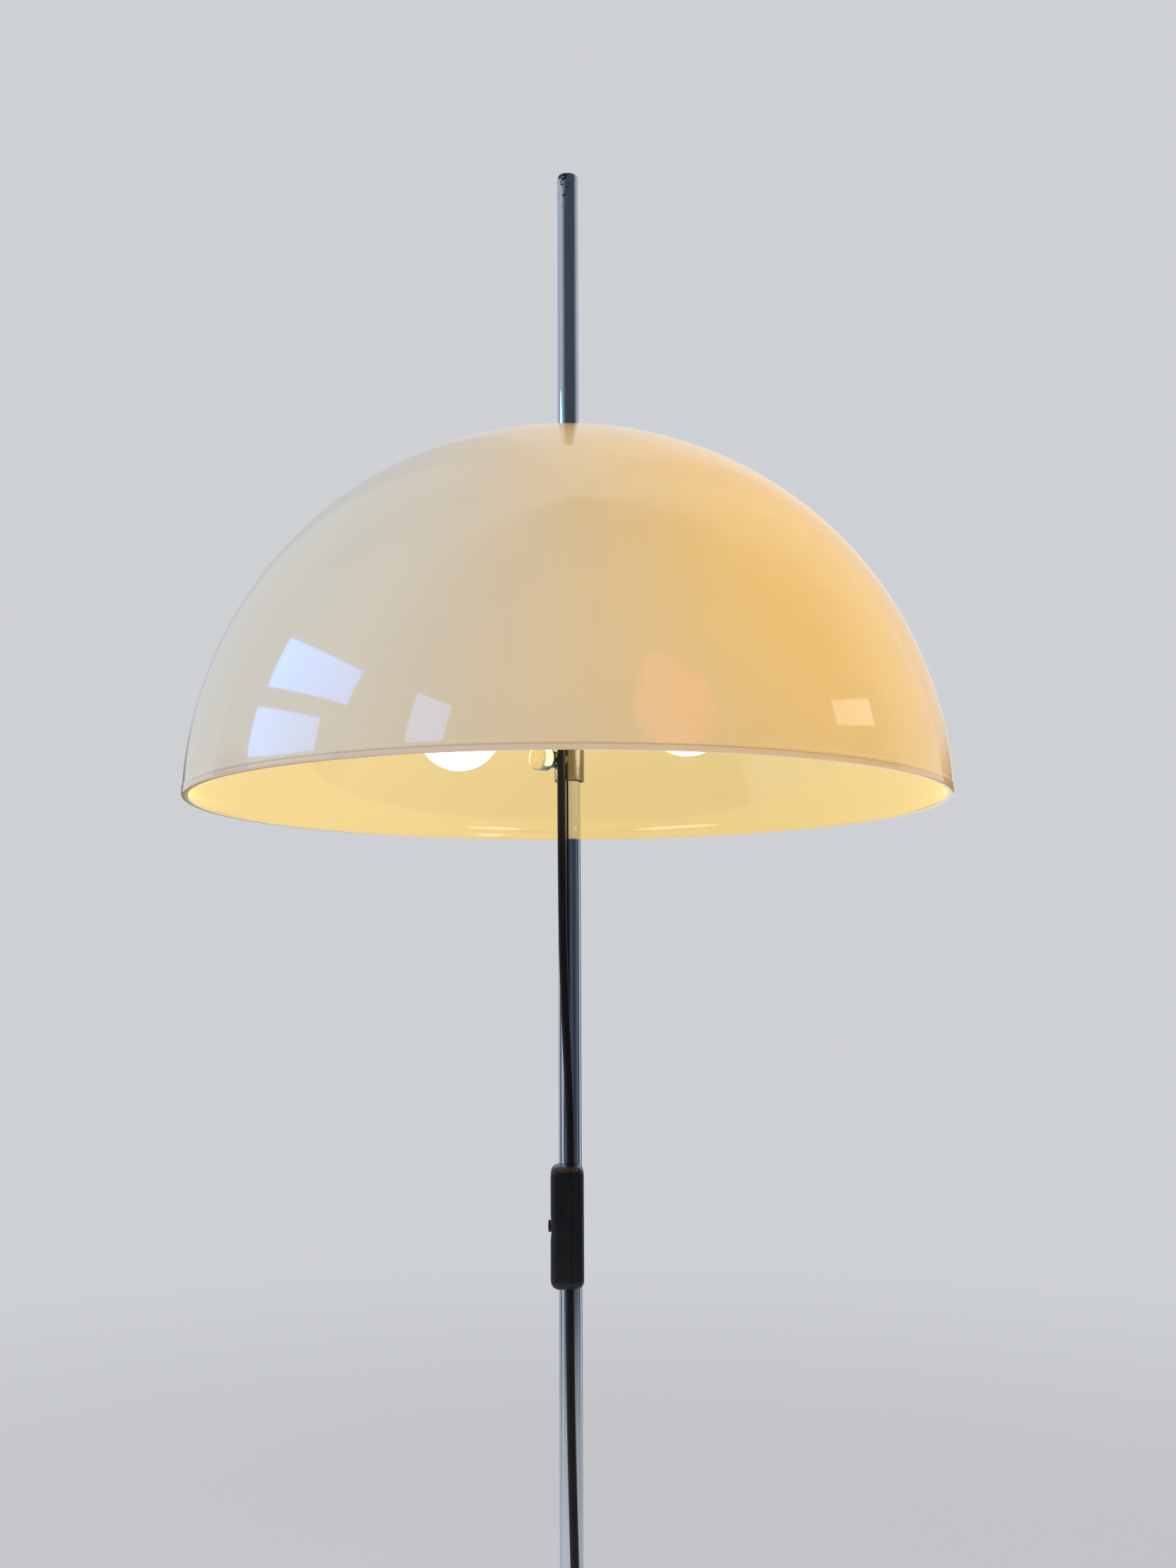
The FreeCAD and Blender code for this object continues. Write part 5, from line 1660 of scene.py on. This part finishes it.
class Cords:
    """The cord from the shade to the switch, and from the switch to the plug."""

    UPPER_LENGTH = 0.330
    LOWER_LENGTH = 2.108

    def upper(self) -> None:
        """The stretch from the hub's gland to the switch.
        """
        path = spline_path(np.array(UPPER_ROUTE), 20)
        cord = self.sheath("cord_upper_sheath", path, "cord_upper")
        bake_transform(cord)

    def lower(self) -> None:
        """The stretch from the switch down over the foot, into the coil and on to the plug.
        """
        route = [np.array(LOWER_ROUTE), Coil().points(), np.array(TAIL_ROUTE)]
        path = spline_path(np.concatenate(route), 8)
        cord = self.sheath("cord_lower_sheath", path, "cord_lower", "cord_floor", "cord_coil",
                           "cord_tail")
        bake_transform(cord)

    def sheath(self, name: str, path: Array, *nodes: str) -> Piece:
        """A round sheath along a path, in place of the nodes.

        Args:
            name: The piece's name.
            path: The middle line.
            nodes: The nodes that it stands for.

        Returns:
            The piece.
        """
        piece = surface(name, tube(path, CORD_D / 2, 24))
        piece.data.materials.append(Finishes.sheath.material())
        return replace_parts(piece, *nodes)


@dataclass
class Plug:
    """A flat plug with two round pins, and its ribbed relief."""

    back: float = -37.0
    length: float = 36.0
    y: float = 191.0
    z: float = 7.3
    thickness: float = 14.0
    widths: tuple[float, float] = (9.0, 17.5)
    edge: float = 2.5
    power: float = 5.0             # of the section's superellipse
    rib_pitch: float = 3.0
    rib_height: float = 0.35
    segments: int = 96
    pin_radius: float = 2.0
    pin_length: float = 19.0
    pin_sleeve: float = 10.5
    pin_spacing: float = 18.6
    relief_length: float = 22.0
    relief_radii: tuple[float, float] = (3.3, 4.5)
    relief_grooves: int = 7
    relief_depth: float = 0.45

    def build(self) -> list[Piece]:
        """Make the body, the pins and the relief.

        Returns:
            The body, the pins and the relief.
        """
        body = fit(surface("plug_body_grip", self.body()), Body.STAND, Finishes.plastic,
                   "black_plastic", "plug_body")
        pins = fit(surface("plug_pins_sleeved", *self.pins()), Body.STAND, Finishes.pins,
                   "pin_nickel", "plug_pins")
        relief = fit(surface("plug_relief_ribbed", self.relief()), Body.STAND, Finishes.rubber,
                     "black_plastic", "plug_relief")
        return [body, pins, relief]

    def body(self) -> Patch:
        """A rounded section carried along X that widens to the front, with grip ribs on its flats.

        The section is a superellipse; its half width and half thickness shrink at both ends by the
        edge times 1 - sqrt(1 - s^2), where s runs from 0 to 1 over the edge.

        Returns:
            The grid.
        """
        x = np.linspace(0, 1, 60) * self.length
        narrow, wide = self.widths
        share = np.clip(x / (self.length * 0.5), 0, 1)
        width = narrow + (wide - narrow) * share * share * (3 - 2 * share)
        near_end = np.clip(1 - np.minimum(x, self.length - x) / self.edge, 0, 1)
        shrink = self.edge * (1 - np.sqrt(1 - near_end ** 2))
        ribbed = (x > 7) & (x < 19)
        ribs = self.rib_height * np.clip(np.cos(TURN * (x - 8) / self.rib_pitch), 0, 1) * ribbed
        round_it = np.stack([np.cos(angles(self.segments)), np.sin(angles(self.segments))])
        across, up = np.sign(round_it) * np.abs(round_it) ** (2 / self.power)
        half = self.thickness / 2 - shrink - ribs
        grid = np.stack([(self.back + x)[:, None] + 0 * across,
                         self.y + (width - shrink)[:, None] * across,
                         self.z + half[:, None] * up], -1)
        ends = [np.tile([at, self.y, self.z], (1, self.segments, 1))
                for at in (self.back, self.back + self.length)]
        return Patch(np.concatenate([ends[0], grid, ends[1]]))

    def pins(self) -> list[Patch]:
        """Two pins with rounded tips, thicker where their sleeve is.

        Returns:
            A grid for each pin.
        """
        r, tip, sleeve = self.pin_radius, self.pin_length + 1, self.pin_sleeve
        outline = rounded([(0, 0), (r, 0), (r, sleeve, 0.2), (r - 0.25, sleeve + 0.2, 0.1),
                           (r - 0.25, tip, 1.2), (0, tip)], closed=False)
        front, apart = self.back + self.length - 1, self.pin_spacing / 2
        axes = [Axis((front, self.y + way * apart, self.z), (1.0, 0.0, 0.0)) for way in (-1, 1)]
        return [Patch(axis.place(turned(outline, 40))) for axis in axes]

    def relief(self) -> Patch:
        """The relief tapers towards the cord; round grooves make it bend evenly.

        Returns:
            The grid.
        """
        share = np.linspace(0, 1, 90)
        thin, thick = self.relief_radii
        taper = thin + (thick - thin) * share
        grooved = (share > 0.07) & (share < 0.93)
        wave = np.clip(np.cos(TURN * share * self.relief_grooves), 0, 1)
        groove = self.relief_depth * wave * grooved
        side = np.stack([taper - groove, share * self.relief_length], -1)
        outline = np.concatenate([[[0, 0]], side, [[0, self.relief_length]]])
        axis = Axis((self.back - self.relief_length, self.y, self.z), (1.0, 0.0, 0.0))
        return Patch(axis.place(turned(outline, 40)))


# ---------------------------------------------------------------- floor, lights, camera
def rotation(degrees: float, axis: str) -> Matrix:
    """A turn about one axis."""
    return Matrix.Rotation(math.radians(degrees), 4, axis)


@dataclass(frozen=True)
class Lamp:
    """A flat lamp near the dome."""

    name: str
    azimuth: float                 # its direction from the dome, degrees from +Y towards +X
    elevation: float               # degrees over the level
    width: float                   # m
    height: float                  # m
    radiance: float                # how bright its face is
    colour: Colour
    turn: float = 0.0              # how far it turns away from the dome about the upright, degrees
    distance: float = 2.0          # from the dome's middle, m

    def make(self) -> Piece:
        """Make the lamp, unseen by the camera; its power is pi times its radiance and its area.

        Returns:
            The lamp.
        """
        data = bpy.data.lights.new(self.name, "AREA")
        data.shape = "RECTANGLE"
        data.size, data.size_y = self.width, self.height
        data.color = self.colour
        data.energy = math.pi * self.width * self.height * self.radiance
        obj = bpy.data.objects.new(self.name, data)
        rise = math.radians(self.elevation)
        out, up = self.distance * math.cos(rise), self.distance * math.sin(rise)
        spot = (Matrix.Translation((0, 0, RIM_Z * MM + 0.03)) @ rotation(-self.azimuth, "Z")
                @ Matrix.Translation((0, out, up)))
        obj.matrix_world = spot @ rotation(self.turn, "Z") @ rotation(self.elevation - 90, "X")
        obj.visible_camera = False
        bpy.context.scene.collection.objects.link(obj)
        return obj


@dataclass
class Studio:
    """A plain pale floor, soft light from all round, window-like lamps, and the camera."""

    # Lamps that only show as reflections, and lamps that only light.
    PANES: ClassVar[tuple[Lamp, ...]] = (
        Lamp("pane_high", -104, 25.5, 1.12, 0.32, 5.5, (0.09, 0.34, 1.0), -17),
        Lamp("pane_low", -98, 13.0, 0.92, 0.30, 4.5, (0.11, 0.37, 1.0), -15),
        Lamp("pane_front", -144, 14.5, 0.46, 0.38, 4.0, (0.16, 0.42, 1.0), -44),
        Lamp("pane_right", 96, 17.0, 0.52, 0.18, 1.6, (1.0, 0.92, 0.80)))
    KEYS: ClassVar[tuple[Lamp, ...]] = (
        Lamp("key_left", -115, 22.0, 1.6, 1.6, 2.1, (0.90, 0.97, 1.0)),
        Lamp("fill_front", 178, 20.0, 1.3, 1.3, 1.2, (1.0, 0.98, 0.95)),
        Lamp("fill_right", 115, 40.0, 1.2, 1.2, 0.35, (1.0, 0.93, 0.82)))

    pale: Colour = (0.62, 0.635, 0.66)
    floor: Colour = (0.86, 0.86, 0.87)
    floor_reach: float = 60000.0   # mm, far past what the camera sees
    ambient: float = 0.7143        # share of the pale colour that lights the lamp
    lens: float = 30.156
    stand: Colour = (0.0, -0.87885, 0.94455)
    pitch: float = 7.54
    yaw: float = 0.822
    roll: float = 0.28

    def build(self) -> None:
        """Set up everything round the lamp."""
        self.make_floor()
        self.make_world()
        for lamp in self.PANES:
            lamp.make().visible_diffuse = False
        for lamp in self.KEYS:
            lamp.make().visible_glossy = False
        self.make_camera()

    def make_floor(self) -> None:
        """A wide disc of matt paint that runs over into the background."""
        outline = np.array([[0.0, 0.0], [900.0, 0.0], [self.floor_reach, 0.0]])
        piece = surface("studio_floor", Patch(turned(outline, 64)))
        paint = Sweep("floor_paint", self.floor, tuple(c * 0.985 for c in self.floor), 0.65,
                      mottle=0.5, mottle_scale=3, grain=0.0, hairlines=0.0, dust=0.0, ior=1.0,
                      strength=1.0, pale=self.pale)
        piece.data.materials.append(paint.material())

    def make_world(self) -> None:
        """Even light, a pale background, and a darker room for bright metal to show."""
        world = bpy.data.worlds.new("studio")
        world.use_nodes = True
        world.node_tree.nodes.clear()
        graph = Graph(world.node_tree)
        path = graph.put("LightPath")
        dark = ROOM.place(graph, graph.put("TexCoord").outputs["Generated"])
        shown = graph.mix(dark, ROOM_LIGHT, ROOM_DARK)
        even = tuple(c * self.ambient for c in self.pale)
        soft = graph.mix(path.outputs["Is Glossy Ray"], even, shown)
        colour = graph.mix(path.outputs["Is Camera Ray"], soft, self.pale)
        background = graph.put("Background", {"Color": colour, "Strength": 1.0})
        graph.put("OutputWorld", {"Surface": background.outputs[0]})
        bpy.context.scene.world = world

    def make_camera(self) -> None:
        """The photograph's view: a little under the rim, looking slightly up."""
        data = bpy.data.cameras.new("camera")
        data.lens = self.lens
        data.sensor_width = 36.0
        data.clip_start = 0.02
        obj = bpy.data.objects.new("camera", data)
        aim = rotation(-self.yaw, "Z") @ rotation(90 + self.pitch, "X") @ rotation(-self.roll, "Z")
        obj.matrix_world = Matrix.Translation(self.stand) @ aim
        bpy.context.scene.collection.objects.link(obj)
        bpy.context.scene.camera = obj
        bpy.context.scene.view_settings.view_transform = "Standard"


def dress_nodes() -> None:
    """Give each node its slot's finish, also where a new piece hides it."""
    for part in frame["record"]["subparts"]:
        finish = SLOT_FINISH[part["material_slot"]].material()
        for slot in frame["nodes"][part["node"]].material_slots:
            slot.material = finish


def main() -> None:
    """Build the studio, the cords and every assembly."""
    logging.basicConfig(level=logging.INFO, format="%(name)s: %(message)s")
    Studio().build()
    switch = Switch().build()
    plug = Plug().build()
    cords = Cords()
    cords.upper()
    cords.lower()
    Stand().build()
    Clamp().build()
    Shade().build()
    for side, azimuth in BULB_AZIMUTHS.items():
        Light(side, azimuth).build()
    dress_nodes()


if __name__ == "__main__":
    main()
